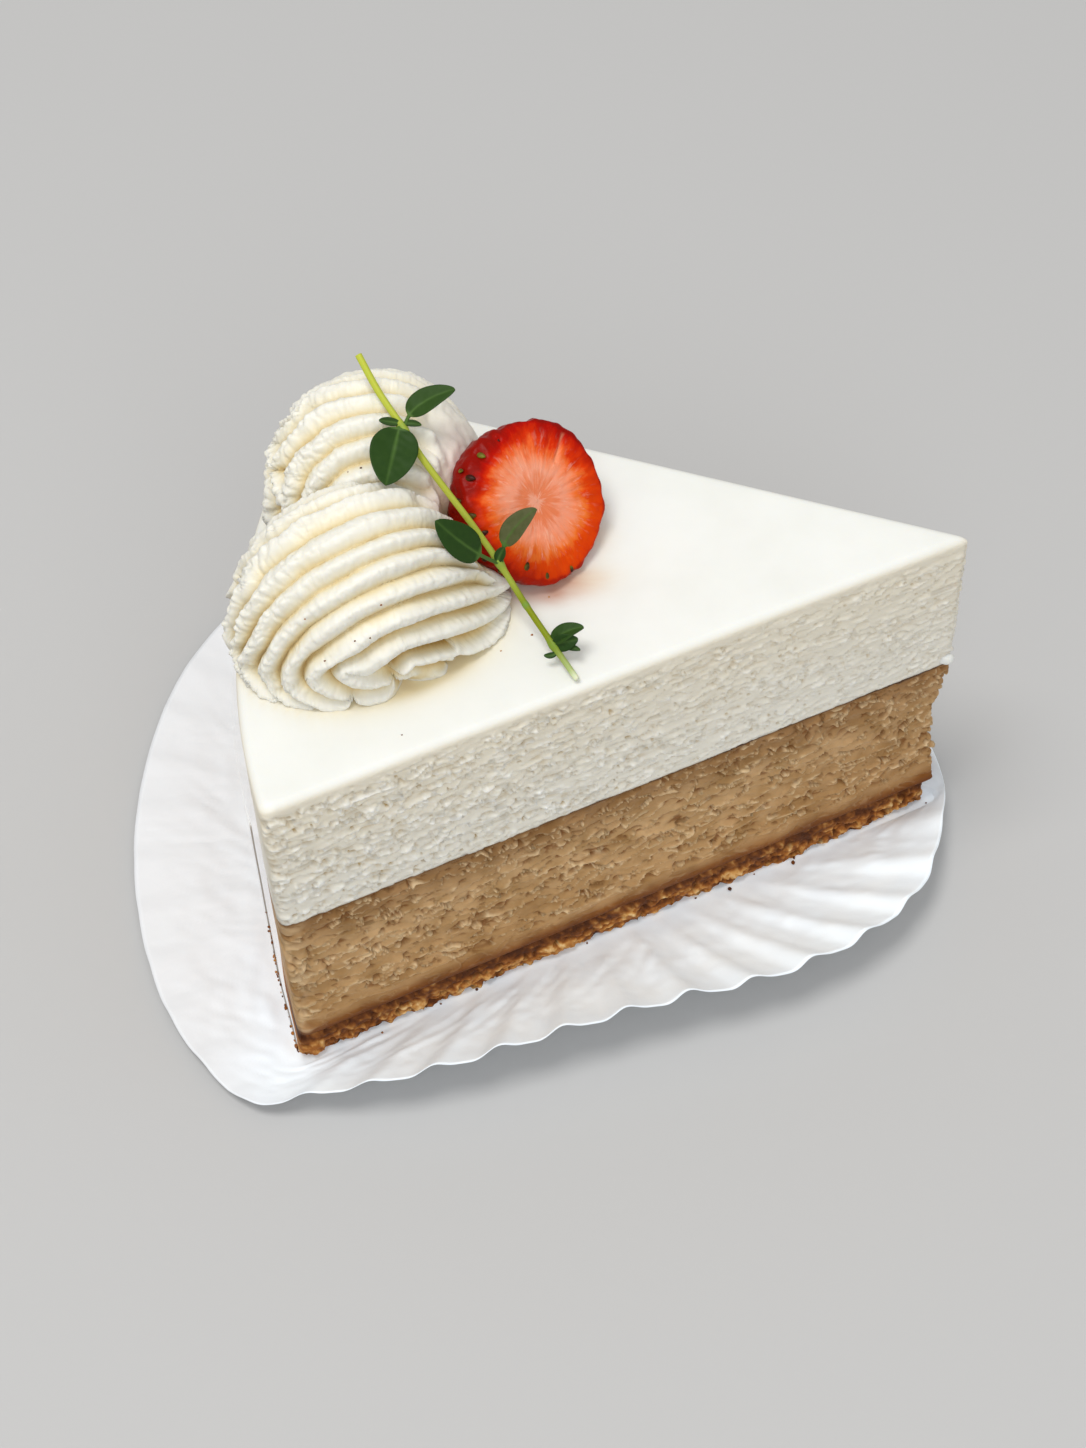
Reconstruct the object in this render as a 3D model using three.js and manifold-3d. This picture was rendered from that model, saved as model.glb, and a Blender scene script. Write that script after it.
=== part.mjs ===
// A slice of two layer cheesecake with piped cream, strawberry and thyme, on its pleated paper liner.
// Millimetres, +Z up. The origin is on the surface that the liner rests on, under the middle of the liner.
// The slice's own frame has the tip of the slice at its origin, the rim towards -X and the biscuit's
// underside at height 0.
import * as THREE from 'three';
import { mergeVertices } from 'three/addons/utils/BufferGeometryUtils.js';
import Module from 'manifold-3d';

const wasm = await Module();
wasm.setup();

// Cut of the slice, seen from above. The tip's sharp corner lies just past the rounded tip.
const tipFromOrigin = 58;
const frontCut = 101;
const backCut = 91.5;
const halfApex = THREE.MathUtils.degToRad(22);
const rimBulge = 7;
const cornerRound = 1.8;
const tipCorner = new THREE.Vector2(0.85, 0.35);

// Layers, as heights above the biscuit's underside
const biscuitTop = 5.25;
const bakedTop = 33;
const sliceTop = 59;
const topEdgeRound = 1.5;

// The knife tears the cut faces in by up to a depth, and draws the tip back, over a reach from the tip. The
// biscuit stands out past the cut by its crumb. The grain is the spacing of the points on a cut face.
const biscuitCut = { grain: 2.8, crumb: 0.35, tear: 0.9, tipSetback: 1.4 };
const bakedCut = { grain: 3.6, tear: 0.5, tipSetback: 1.6 };
const whiteCut = { grain: 3.6, tear: 0.2 };
const tipReach = 12;

// Film round the rim
const film = { thick: 0.3, low: 3, high: 57, gap: 0.4, gapAtFrontEnd: 1.2, steps: 26 };

// Paper liner: a flat floor under the slice and a pleated skirt that rises to the edge. A pleat's height is a
// flat part plus a share of the edge's own height. The edge is given on the front side, and mirrored behind.
const paper = {
  thick: 0.5, floorMargin: 0.7, pleats: 38, stepsPerPleat: 6, firstPleat: 0.4,
  pleatFlat: 0.12, pleatShare: 0.075, pleatReach: 0.3, skirtCurve: 1.5,
};
const linerMiddle = new THREE.Vector2(-54, 0);
const linerEdge = [
  [-117.5, 0, 1.1], [-115, -20, 1.1], [-109.5, -34, 1.4], [-100, -45.2, 2], [-92.5, -46.1, 4.6],
  [-82, -46.4, 7.6], [-70.5, -44.8, 9.1], [-57, -41.5, 9.9], [-42, -37.8, 10], [-26, -34.2, 9.5],
  [-12, -27.2, 8.4], [-3.8, -18.6, 6.4], [0.3, -8, 4.8], [1.8, 0, 3.8],
];

// Piped cream shells: an egg of cream that leans along its axis, cut flat where it sits. The ridges of the
// star nozzle lie in planes that fan round one slanting line. Each ridge has rows of points at a few stops
// across it, and the sharper it is, the wider its crest and the narrower its valley.
const shellFootGap = 0.125;
const neighbourGap = 0.3;
const ridgeStops = [0, 0.17, 0.5, 0.83];
const ridgeSharpness = 2.2;
const frontShell = {
  middle: [-81.8, -8.6, 5.4], axisAngle: 14, tilt: 50, head: 13.2, tail: 27.7, half: 13.5, up: 16.9,
  fanThrough: [-31.5, 10.1, 0], fanAzimuth: 17.5, fanElevation: 30, crestAngle: 62.6, ridgeAngle: 4.4,
  ridgeDepth: 1.5, around: 22,
};
const backShell = {
  middle: [-76.6, 10.8, 5.2], axisAngle: 18, tilt: -4, head: 15.5, tail: 14.9, half: 14.3, up: 15.8,
  fanThrough: [-69.3, -3.7, 2], fanAzimuth: 10, fanElevation: 28, crestAngle: 123.3, ridgeAngle: 6.7,
  ridgeDepth: 1.5, around: 22,
};

// Strawberry: a half cut across, leaning back on the cream with the cut face up
const berry = {
  middle: [-56.3, 2.7, 9.3], faces: [0.53, -0.5, 0.67], radius: 10.6, depth: 12, faceRound: 0.7,
  lobes: 0.3, around: 28,
};

// Thyme sprig: places are from the tip of the slice, with heights above the slice's top. A leaf's midrib
// bends from its node through a point beside it, its blade starts after the petiole's share of the length, is
// widest at a share of the rest, and turns by a roll from facing up and forward.
const stem = {
  radius: 0.45, sides: 8, steps: 24,
  route: [
    [-77.9, 15.4, 24.7], [-75.7, 11.4, 22.2], [-72.9, 6.5, 20.6], [-70.6, 2.9, 18.5],
    [-67.8, -0.4, 15.8], [-64.9, -3.6, 12.9], [-61.8, -6.8, 9], [-58.8, -10.6, 5.1],
    [-55.6, -15.5, 2.6], [-52.7, -20.1, 0.7],
  ],
  nodes: [[-72.7, 6.3, 20.5], [-61.6, -6.9, 8.9], [-55.3, -15.8, 2.6]], nodeRadius: 0.75,
};
const leafThickness = 0.3;
const leafFold = 0.18;
const leafFacing = new THREE.Vector3(0, -0.6, 0.8);
const leaves = [
  { from: [-72.5, 6.3, 20.6], via: [-71.8, 8.5, 22.8], to: [-65.9, 8.9, 24.2],
    width: 3.3, petiole: 0.24, widest: 0.45, roll: -20 },
  { from: [-73.2, 6.2, 20.8], via: [-74.1, 2.3, 19.9], to: [-75.2, -2.1, 19.3],
    width: 6, petiole: 0.02, widest: 0.42, roll: 0 },
  { from: [-72.8, 6.6, 20.9], via: [-74.3, 6.8, 21.3], to: [-75.7, 7, 21.4],
    width: 1, petiole: 0.05, widest: 0.5, roll: 0 },
  { from: [-72.8, 6.6, 20.9], via: [-71.7, 6.6, 21.2], to: [-70.4, 6.2, 20.9],
    width: 0.8, petiole: 0.05, widest: 0.5, roll: 0 },
  { from: [-61.9, -7, 8.9], via: [-65.4, -8.6, 12.8], to: [-69.4, -7.2, 17.8],
    width: 4.3, petiole: 0.32, widest: 0.42, roll: 10 },
  { from: [-61.3, -7, 9.1], via: [-61.3, -5.4, 12.3], to: [-56.6, -3.8, 15.1],
    width: 3.1, petiole: 0.3, widest: 0.45, roll: -25 },
  { from: [-55.5, -15.8, 2.5], via: [-55, -14.7, 4.2], to: [-51.5, -15.3, 4.6],
    width: 1.9, petiole: 0.05, widest: 0.45, roll: -35 },
  { from: [-55.4, -15.5, 2.8], via: [-54.6, -16.8, 2.7], to: [-53.2, -17.4, 2.2],
    width: 2.2, petiole: 0.02, widest: 0.5, roll: 15 },
  { from: [-54.9, -16.6, 2.2], via: [-55.7, -17.2, 1.9], to: [-56.7, -16.9, 2],
    width: 0.7, petiole: 0.05, widest: 0.5, roll: 0 },
  { from: [-55.2, -15.9, 2.5], via: [-53.4, -16.2, 2.8], to: [-52.1, -16.9, 2.6],
    width: 0.8, petiole: 0.05, widest: 0.5, roll: 0 },
];

const heading = (angle) => new THREE.Vector2(Math.cos(angle), Math.sin(angle));
const onTop = ([x, y, z]) => new THREE.Vector3(x, y, z + sliceTop);

// Corners of the slice: its tip and both ends of its rim, with the circle that the rim follows
function sliceCorners() {
  const tip = tipCorner.clone();
  const front = heading(Math.PI + halfApex).multiplyScalar(frontCut).add(tip);
  const back = heading(Math.PI - halfApex).multiplyScalar(backCut).add(tip);
  const chord = front.distanceTo(back);
  const radius = (chord * chord / 4 + rimBulge * rimBulge) / (2 * rimBulge);
  const inward = new THREE.Vector2(back.y - front.y, front.x - back.x).normalize();
  const centre = front.clone().lerp(back, 0.5).addScaledVector(inward, radius - rimBulge);
  return { tip, front, back, rim: { centre, radius } };
}

// Points round the slice at about one spacing, with rounded corners, all set in by one distance
function sliceOutline(spacing, inset = 0) {
  const { tip, front, back, rim } = sliceCorners();
  const radius = rim.radius - inset;
  const frontWay = front.clone().sub(tip).normalize();
  const backWay = back.clone().sub(tip).normalize();
  const innerTip = tip.clone().addScaledVector(heading(Math.PI), inset / Math.sin(halfApex));
  const onRim = (way) => {
    const offset = innerTip.clone().sub(rim.centre);
    const along = offset.dot(way);
    const reach = Math.sqrt(along * along - offset.lengthSq() + radius * radius) - along;
    return innerTip.clone().addScaledVector(way, reach);
  };
  const [innerFront, innerBack] = [onRim(frontWay), onRim(backWay)];
  const angleOf = (point) => point.clone().sub(rim.centre).angle();
  const turn = cornerRound / radius;
  const from = angleOf(innerFront) - turn;
  const to = angleOf(innerBack) + turn;
  const rimStart = heading(from).multiplyScalar(radius).add(rim.centre);
  const tipStart = innerTip.clone().addScaledVector(frontWay, cornerRound);
  const tipEnd = innerTip.clone().addScaledVector(backWay, cornerRound);
  const frontEnd = innerFront.clone().addScaledVector(frontWay, -cornerRound);
  const backStart = innerBack.clone().addScaledVector(backWay, -cornerRound);
  const shape = new THREE.Shape();
  shape.moveTo(tipStart.x, tipStart.y);
  shape.lineTo(frontEnd.x, frontEnd.y);
  shape.quadraticCurveTo(innerFront.x, innerFront.y, rimStart.x, rimStart.y);
  shape.absarc(rim.centre.x, rim.centre.y, radius, from, to, true);
  shape.quadraticCurveTo(innerBack.x, innerBack.y, backStart.x, backStart.y);
  shape.lineTo(tipEnd.x, tipEnd.y);
  shape.quadraticCurveTo(innerTip.x, innerTip.y, tipStart.x, tipStart.y);
  const rimLength = 2 * rim.radius * Math.asin(front.distanceTo(back) / (2 * rim.radius));
  const cornerLength = 2 * cornerRound;
  const lengths = [frontCut, cornerLength, rimLength, cornerLength, backCut, cornerLength];
  return shape.curves.flatMap((curve, i) => {
    const steps = Math.max(3, Math.round(lengths[i] / spacing));
    return curve.getPoints(steps).slice(0, -1);
  });
}

// Directions that point out of a closed outline, one for each of its points
function outwardNormals(points) {
  const sign = Math.sign(THREE.ShapeUtils.area(points));
  return points.map((point, i) => {
    const before = points.at(i - 1);
    const after = points[(i + 1) % points.length];
    return new THREE.Vector2(after.y - before.y, before.x - after.x).multiplyScalar(sign).normalize();
  });
}

// Random numbers from 0 to 1 that are the same on every run
function seededRandom(seed) {
  let state = seed;
  return () => {
    state = (state * 1664525 + 1013904223) % 4294967296;
    return state / 4294967296;
  };
}

// One closed body: corners shared, no empty triangles, faces pointing out. A joined or cut solid, which has
// no uv, is one already.
function closedBody(geometry) {
  if (!geometry.getAttribute('uv')) return geometry;
  geometry.deleteAttribute('normal');
  geometry.deleteAttribute('uv');
  const body = mergeVertices(geometry);
  const { position } = body.attributes;
  const corner = (i) => new THREE.Vector3().fromBufferAttribute(position, i);
  const faces = [];
  let volume = 0;
  for (let i = 0; i < body.index.count; i += 3) {
    const [a, b, c] = [0, 1, 2].map((k) => body.index.getX(i + k));
    if (a !== b && b !== c && c !== a) {
      faces.push([a, b, c]);
      volume += corner(a).dot(corner(b).cross(corner(c)));
    }
  }
  body.setIndex((volume < 0 ? faces.map(([a, b, c]) => [a, c, b]) : faces).flat());
  return body;
}

function toManifold(geometry) {
  const body = closedBody(geometry);
  const vertProperties = new Float32Array(body.attributes.position.array);
  const triVerts = new Uint32Array(body.index.array);
  return new wasm.Manifold(new wasm.Mesh({ numProp: 3, vertProperties, triVerts }));
}

// The joined or cut solid as a geometry, without the slivers shorter than the grain
function fromManifold(solid, grain = 0.02) {
  const mesh = solid.asOriginal().simplify(grain).getMesh();
  const geometry = new THREE.BufferGeometry();
  geometry.setAttribute('position', new THREE.BufferAttribute(new Float32Array(mesh.vertProperties), 3));
  geometry.setIndex(new THREE.BufferAttribute(new Uint32Array(mesh.triVerts), 1));
  return geometry;
}

// A layer of the slice: one outline for each level, all with the same number of points, joined in order
function layer(outlines, heights) {
  const steps = heights.length - 1;
  const shape = new THREE.Shape(outlines[0]);
  const geometry = new THREE.ExtrudeGeometry(shape, { depth: steps, steps, bevelEnabled: false });
  const { position } = geometry.attributes;
  const flat = new THREE.Vector2();
  for (let i = 0; i < position.count; i += 1) {
    flat.set(position.getX(i), position.getY(i));
    const nearest = outlines[0].reduce((best, point, k) => (
      point.distanceToSquared(flat) < outlines[0][best].distanceToSquared(flat) ? k : best), 0);
    const level = Math.round(position.getZ(i));
    const point = outlines[level][nearest];
    position.setXYZ(i, point.x, point.y, heights[level]);
  }
  return geometry;
}

// An outline torn by the knife: set in unevenly up to a depth, and with its tip drawn back by a setback
function tornOutline(points, depth, setback, random) {
  const normals = outwardNormals(points);
  return points.map((point, i) => {
    const nearTip = Math.max(0, 1 - point.distanceTo(tipCorner) / tipReach);
    const torn = point.clone().addScaledVector(normals[i], -depth * random() * (1 - nearTip));
    return torn.addScaledVector(heading(Math.PI), setback * nearTip);
  });
}

// The biscuit is crumbly, so its cut is the most uneven
function biscuitBase() {
  const random = seededRandom(11);
  const { grain, crumb, tear, tipSetback } = biscuitCut;
  const outline = sliceOutline(grain, -crumb);
  const heights = [0, 1.75, 3.5, biscuitTop];
  return layer(heights.map(() => tornOutline(outline, tear, tipSetback, random)), heights);
}

// The baked layer's tip is hollow half way up
function bakedLayer() {
  const random = seededRandom(23);
  const { grain, tear, tipSetback } = bakedCut;
  const outline = sliceOutline(grain);
  const heights = [biscuitTop, 9.5, 15, 21, 27, bakedTop];
  return layer(heights.map((height) => {
    const middle = Math.sin(Math.PI * (height - biscuitTop) / (bakedTop - biscuitTop));
    return tornOutline(outline, tear, tipSetback * middle, random);
  }), heights);
}

// The white layer has a rounded top edge
function whiteLayer() {
  const random = seededRandom(37);
  const { grain, tear } = whiteCut;
  const cutHeights = [bakedTop, 39, 46, 52];
  const arcs = [0, 30, 60, 90].map((angle) => THREE.MathUtils.degToRad(angle));
  const cuts = cutHeights.map(() => tornOutline(sliceOutline(grain), tear, 0, random));
  const rounds = arcs.map((arc) => sliceOutline(grain, topEdgeRound * (1 - Math.cos(arc))));
  const roundHeights = arcs.map((arc) => sliceTop - topEdgeRound * (1 - Math.sin(arc)));
  return layer([...cuts, ...rounds], [...cutHeights, ...roundHeights]);
}

// Clear film that stands a little off the rim, most at its front end
function acetateCollar() {
  const { front, back, rim } = sliceCorners();
  const from = front.sub(rim.centre).angle();
  const to = back.sub(rim.centre).angle();
  const face = (extra) => Array.from({ length: film.steps + 1 }, (_, i) => {
    const share = i / film.steps;
    const angle = THREE.MathUtils.lerp(from, to, share);
    const gap = THREE.MathUtils.lerp(film.gapAtFrontEnd, film.gap, Math.min(1, share * 3));
    const distance = rim.radius + gap + extra;
    return heading(angle).multiplyScalar(distance).add(rim.centre);
  });
  const shape = new THREE.Shape([...face(0), ...face(film.thick).reverse()]);
  const geometry = new THREE.ExtrudeGeometry(shape, { depth: film.high - film.low, bevelEnabled: false });
  return geometry.translate(0, 0, film.low);
}

// Distance from the liner's middle to a closed outline round it, for any angle
function radialOutline(points) {
  const rows = points.map((point) => {
    const offset = point.clone().sub(linerMiddle);
    return { angle: offset.angle(), distance: offset.length() };
  }).sort((a, b) => a.angle - b.angle);
  const turn = 2 * Math.PI;
  const ring = [{ ...rows.at(-1), angle: rows.at(-1).angle - turn }, ...rows,
    { ...rows[0], angle: rows[0].angle + turn }];
  return (angle) => {
    const k = Math.max(1, ring.findIndex((row) => row.angle >= angle));
    const [low, high] = [ring[k - 1], ring[k]];
    return THREE.MathUtils.mapLinear(angle, low.angle, high.angle, low.distance, high.distance);
  };
}

// The liner: the same pleated surface above and below, one paper thickness apart. Its pleats are evenly
// spaced along its edge, and each runs straight towards the middle of the liner.
function paperLiner() {
  const mirrored = linerEdge.slice(1, -1).map(([x, y, z]) => [x, -y, z]).reverse();
  const knots = [...linerEdge, ...mirrored].map(([x, y, z]) => new THREE.Vector3(x, y, z));
  const edgeCurve = new THREE.CatmullRomCurve3(knots, true, 'centripetal');
  const columns = paper.pleats * paper.stepsPerPleat;
  const edge = edgeCurve.getSpacedPoints(columns);
  const outline = sliceOutline(2);
  const normals = outwardNormals(outline);
  const foot = radialOutline(outline.map((p, i) => p.clone().addScaledVector(normals[i], paper.floorMargin)));
  const shares = [0, 0.3, 0.65, 1];
  const rows = [...shares, ...shares.slice().reverse()];
  const profile = [0, ...rows, 0].map((share, i) => new THREE.Vector2(share, i));
  const geometry = new THREE.LatheGeometry(profile, columns);
  const { position, uv } = geometry.attributes;
  for (let i = 0; i < position.count; i += 1) {
    const row = Math.round(uv.getY(i) * (profile.length - 1));
    const column = Math.round(uv.getX(i) * columns) % columns;
    const lift = row > shares.length ? paper.thick : 0;
    const onAxis = row === 0 || row === profile.length - 1;
    const point = onAxis ? new THREE.Vector3() : pleatedPoint(edge[column], column, rows[row - 1], foot);
    position.setXYZ(i, linerMiddle.x + point.x, linerMiddle.y + point.y, point.z + lift - paper.thick);
  }
  return geometry;
}

// A point of the skirt's underside, as an offset from the liner's middle. The pleats grow towards the edge.
function pleatedPoint(edge, column, share, foot) {
  const offset = new THREE.Vector2(edge.x, edge.y).sub(linerMiddle);
  const wave = Math.cos(2 * Math.PI * (column / paper.stepsPerPleat - paper.firstPleat)) * share;
  const pleat = paper.pleatFlat + paper.pleatShare * edge.z;
  const height = edge.z * share ** paper.skirtCurve + pleat * wave;
  const flatReach = THREE.MathUtils.lerp(foot(offset.angle()), offset.length(), share);
  const reach = flatReach - paper.pleatReach * pleat * wave;
  offset.setLength(reach);
  return new THREE.Vector3(offset.x, offset.y, Math.max(0, height));
}

// Directions along and across the line that a shell's ridge planes fan round
function fanOf(shell) {
  const azimuth = THREE.MathUtils.degToRad(shell.fanAzimuth);
  const elevation = THREE.MathUtils.degToRad(shell.fanElevation);
  const level = Math.cos(elevation);
  const along = new THREE.Vector3(Math.cos(azimuth) * level, Math.sin(azimuth) * level, Math.sin(elevation));
  const side = along.clone().cross(new THREE.Vector3(0, 0, 1)).normalize();
  const up = side.clone().cross(along);
  return { through: new THREE.Vector3(...shell.fanThrough), along, side, up };
}

// Below 0 inside the smooth egg of a shell, 0 on it and above 0 outside, with heights above the slice's top
function eggValue(shell, point, grow = 0) {
  const local = point.clone().sub(new THREE.Vector3(...shell.middle));
  local.applyAxisAngle(new THREE.Vector3(0, 0, 1), -THREE.MathUtils.degToRad(shell.axisAngle));
  local.applyAxisAngle(new THREE.Vector3(0, 1, 0), -THREE.MathUtils.degToRad(shell.tilt));
  const long = (local.x < 0 ? shell.head : shell.tail) + grow;
  return (local.x / long) ** 2 + (local.y / (shell.half + grow)) ** 2
    + (local.z / (shell.up + grow)) ** 2 - 1;
}

// Distance from a point inside the egg to its surface, along a direction
function eggDistance(shell, from, direction, grow) {
  let [inside, outside] = [0, 60];
  for (let i = 0; i < 32; i += 1) {
    const half = (inside + outside) / 2;
    if (eggValue(shell, from.clone().addScaledVector(direction, half), grow) < 0) inside = half;
    else outside = half;
  }
  return inside;
}

// Direction across the fan's line, in the ridge plane at an angle
function spreadOf(fan, angle) {
  return fan.side.clone().multiplyScalar(Math.cos(angle)).addScaledVector(fan.up, Math.sin(angle));
}

// Angles of the first and last ridge plane that still meet the egg
function fanRange(shell, fan, grow) {
  const middle = new THREE.Vector3(...shell.middle);
  const inPlane = (angle) => {
    const spread = spreadOf(fan, angle);
    const offset = middle.clone().sub(fan.through);
    const reach = fan.along.clone().multiplyScalar(offset.dot(fan.along));
    return fan.through.clone().add(reach).addScaledVector(spread, offset.dot(spread));
  };
  const offset = middle.clone().sub(fan.through);
  const centreAngle = Math.atan2(offset.dot(fan.up), offset.dot(fan.side));
  const limit = (sign) => {
    let [inside, outside] = [0, Math.PI / 2];
    for (let i = 0; i < 32; i += 1) {
      const half = (inside + outside) / 2;
      if (eggValue(shell, inPlane(centreAngle + sign * half), grow) < 0) inside = half;
      else outside = half;
    }
    return centreAngle + sign * inside;
  };
  return { from: limit(-1), to: limit(1), inPlane };
}

// A piped shell with its ridges, or with no ridges and grown all round as a cutter
function shellSolid(shell, { ridged, grow = 0, base = 0 }) {
  const fan = fanOf(shell);
  const { from, to, inPlane } = fanRange(shell, fan, grow);
  const ridge = THREE.MathUtils.degToRad(shell.ridgeAngle);
  const crest = THREE.MathUtils.degToRad(shell.crestAngle);
  const angles = [];
  for (let k = Math.floor((from - crest) / ridge) - 1; k * ridge + crest < to + ridge; k += 1) {
    ridgeStops.forEach((stop) => angles.push(crest + (k + stop - 0.5) * ridge));
  }
  const inner = angles.filter((angle) => angle > from + 0.2 * ridge && angle < to - 0.2 * ridge);
  const rows = [from, ...inner, to];
  const geometry = new THREE.SphereGeometry(1, shell.around, rows.length - 1);
  const { position, uv } = geometry.attributes;
  for (let i = 0; i < position.count; i += 1) {
    const row = Math.round((1 - uv.getY(i)) * (rows.length - 1));
    const angle = rows[row];
    const around = 2 * Math.PI * (Math.round(uv.getX(i) * shell.around * 2) / (shell.around * 2) % 1);
    const centre = inPlane(angle);
    const direction = fan.along.clone().multiplyScalar(Math.cos(around));
    direction.addScaledVector(spreadOf(fan, angle), Math.sin(around));
    const atPole = row === 0 || row === rows.length - 1;
    const ridgeNumber = (angle - crest) / ridge;
    const valley = 2 * Math.abs(ridgeNumber - Math.round(ridgeNumber));
    const depth = ridged && !atPole ? shell.ridgeDepth * valley ** ridgeSharpness : 0;
    const distance = atPole ? 0 : Math.max(0.3, eggDistance(shell, centre, direction, grow) - depth);
    const point = centre.addScaledVector(direction, distance);
    position.setXYZ(i, point.x, point.y, point.z + sliceTop);
  }
  const size = 120;
  const above = new THREE.BoxGeometry(size, size, size);
  above.translate(shell.middle[0], shell.middle[1], sliceTop + base + size / 2);
  return toManifold(geometry).intersect(toManifold(above));
}

// Half a strawberry: a flat cut face with a soft rim and a dome behind it
function berryGeometry(grow) {
  const radius = berry.radius + grow;
  const depth = berry.depth + grow;
  const { faceRound } = berry;
  const profile = [[0, grow], [radius * 0.55, grow], [radius - faceRound, grow], [radius, -faceRound]];
  const domeSteps = 7;
  for (let i = 1; i <= domeSteps; i += 1) {
    const angle = (Math.PI / 2) * (i / domeSteps);
    const drop = faceRound + (depth - faceRound) * Math.sin(angle);
    profile.push([i === domeSteps ? 0 : radius * Math.cos(angle), -drop]);
  }
  const points = profile.map(([x, y]) => new THREE.Vector2(x, y));
  const geometry = new THREE.LatheGeometry(points, berry.around);
  const { position } = geometry.attributes;
  for (let i = 0; i < position.count; i += 1) {
    const [x, z] = [position.getX(i), position.getZ(i)];
    const angle = Math.atan2(z, x);
    const uneven = 1 + (berry.lobes / berry.radius) * (Math.sin(3 * angle + 0.6) + 0.6 * Math.sin(5 * angle));
    position.setXYZ(i, x * uneven, position.getY(i), z * uneven);
  }
  const facing = new THREE.Vector3(...berry.faces).normalize();
  geometry.applyQuaternion(new THREE.Quaternion().setFromUnitVectors(new THREE.Vector3(0, 1, 0), facing));
  return geometry.translate(berry.middle[0], berry.middle[1], berry.middle[2] + sliceTop);
}

// The front shell, cut back where the strawberry presses on it
function frontCream() {
  const shell = shellSolid(frontShell, { ridged: true, base: shellFootGap });
  return fromManifold(shell.subtract(toManifold(berryGeometry(neighbourGap))));
}

// The back shell, cut back by the front one and by the strawberry
function backCream() {
  const shell = shellSolid(backShell, { ridged: true, base: shellFootGap });
  const front = shellSolid(frontShell, { ridged: false, grow: neighbourGap, base: -1 });
  return fromManifold(shell.subtract(front).subtract(toManifold(berryGeometry(neighbourGap))));
}

// The strawberry, trimmed flat where it sits on the slice
function strawberry() {
  const size = 60;
  const above = new THREE.BoxGeometry(size, size, size);
  above.translate(berry.middle[0], berry.middle[1], sliceTop + shellFootGap + size / 2);
  return fromManifold(toManifold(berryGeometry(0)).intersect(toManifold(above)));
}

// Half the width of a leaf at a share of its length
function leafHalfWidth(leaf, share) {
  if (share <= leaf.petiole) return leafThickness;
  const along = (share - leaf.petiole) / (1 - leaf.petiole);
  const swell = Math.sin(Math.PI * along ** (Math.log(0.5) / Math.log(leaf.widest)));
  return Math.max(leafThickness, (leaf.width / 2) * Math.max(0, swell) ** 0.75);
}

// A thin leaf, folded a little along its midrib: a flattened ball whose poles are its node and its tip
function leafGeometry(leaf) {
  const midrib = new THREE.QuadraticBezierCurve3(onTop(leaf.from), onTop(leaf.via), onTop(leaf.to));
  const [around, along] = leaf.width > 2 ? [8, 8] : [6, 6];
  const geometry = new THREE.SphereGeometry(1, around, along);
  const { position, uv } = geometry.attributes;
  for (let i = 0; i < position.count; i += 1) {
    const row = Math.round((1 - uv.getY(i)) * along);
    const share = (1 - Math.cos(Math.PI * row / along)) / 2;
    const turn = 2 * Math.PI * (position.getX(i) === 0 && position.getZ(i) === 0 ? 0 : uv.getX(i) % 1);
    const tangent = midrib.getTangent(share);
    const face = leafFacing.clone().addScaledVector(tangent, -leafFacing.dot(tangent)).normalize();
    face.applyAxisAngle(tangent, THREE.MathUtils.degToRad(leaf.roll));
    const side = tangent.clone().cross(face);
    const atEnd = row === 0 || row === along;
    const width = atEnd ? 0 : leafHalfWidth(leaf, share);
    const thickness = atEnd ? 0 : leafThickness / 2 + (width <= leafThickness ? leafThickness / 2 : 0);
    const fold = leafFold * width * Math.cos(turn) ** 2;
    const point = midrib.getPoint(share);
    point.addScaledVector(side, width * Math.cos(turn));
    point.addScaledVector(face, thickness * Math.sin(turn) + fold);
    position.setXYZ(i, point.x, point.y, point.z);
  }
  return geometry;
}

// The sprig: one body of stem, leaves and the swellings where the leaves leave the stem
function thymeSprig() {
  const section = new THREE.Shape();
  section.absarc(0, 0, stem.radius, 0, 2 * Math.PI);
  const extrudePath = new THREE.CatmullRomCurve3(stem.route.map(onTop));
  const options = { steps: stem.steps, curveSegments: stem.sides / 2, extrudePath, bevelEnabled: false };
  const swellings = stem.nodes.map((node) => (
    new THREE.SphereGeometry(stem.nodeRadius, 7, 5).translate(...onTop(node).toArray())));
  const parts = [...swellings, ...leaves.map(leafGeometry)];
  const stalk = toManifold(new THREE.ExtrudeGeometry(section, options));
  return fromManifold(parts.reduce((joined, part) => joined.add(toManifold(part)), stalk));
}

function piece(name, geometry, color, roughness, extra = {}) {
  const material = new THREE.MeshStandardMaterial({ color, roughness, metalness: 0, ...extra });
  const mesh = new THREE.Mesh(closedBody(geometry), material);
  mesh.geometry.computeVertexNormals();
  mesh.name = name;
  return mesh;
}

const slice = new THREE.Group();
slice.position.set(tipFromOrigin, 0, paper.thick);
slice.add(piece('paper_liner', paperLiner(), '#ebebea', 0.75));
slice.add(piece('biscuit_base', biscuitBase(), '#9a6234', 0.9));
slice.add(piece('baked_cheese_layer', bakedLayer(), '#ab875e', 0.7));
slice.add(piece('white_cheese_layer', whiteLayer(), '#f6f4ea', 0.5));
slice.add(piece('acetate_collar', acetateCollar(), '#f2f4f5', 0.1, { transparent: true, opacity: 0.3 }));
slice.add(piece('cream_shell_front', frontCream(), '#f5f0dc', 0.45));
slice.add(piece('cream_shell_back', backCream(), '#f5f0dc', 0.45));
slice.add(piece('strawberry_half', strawberry(), '#c8351b', 0.35));
slice.add(piece('thyme_sprig', thymeSprig(), '#3c5a28', 0.6));

const object = new THREE.Group();
object.add(slice);
export default object;
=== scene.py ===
import math

import bmesh
import bpy
import numpy as np
from mathutils import Matrix, Vector


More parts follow.
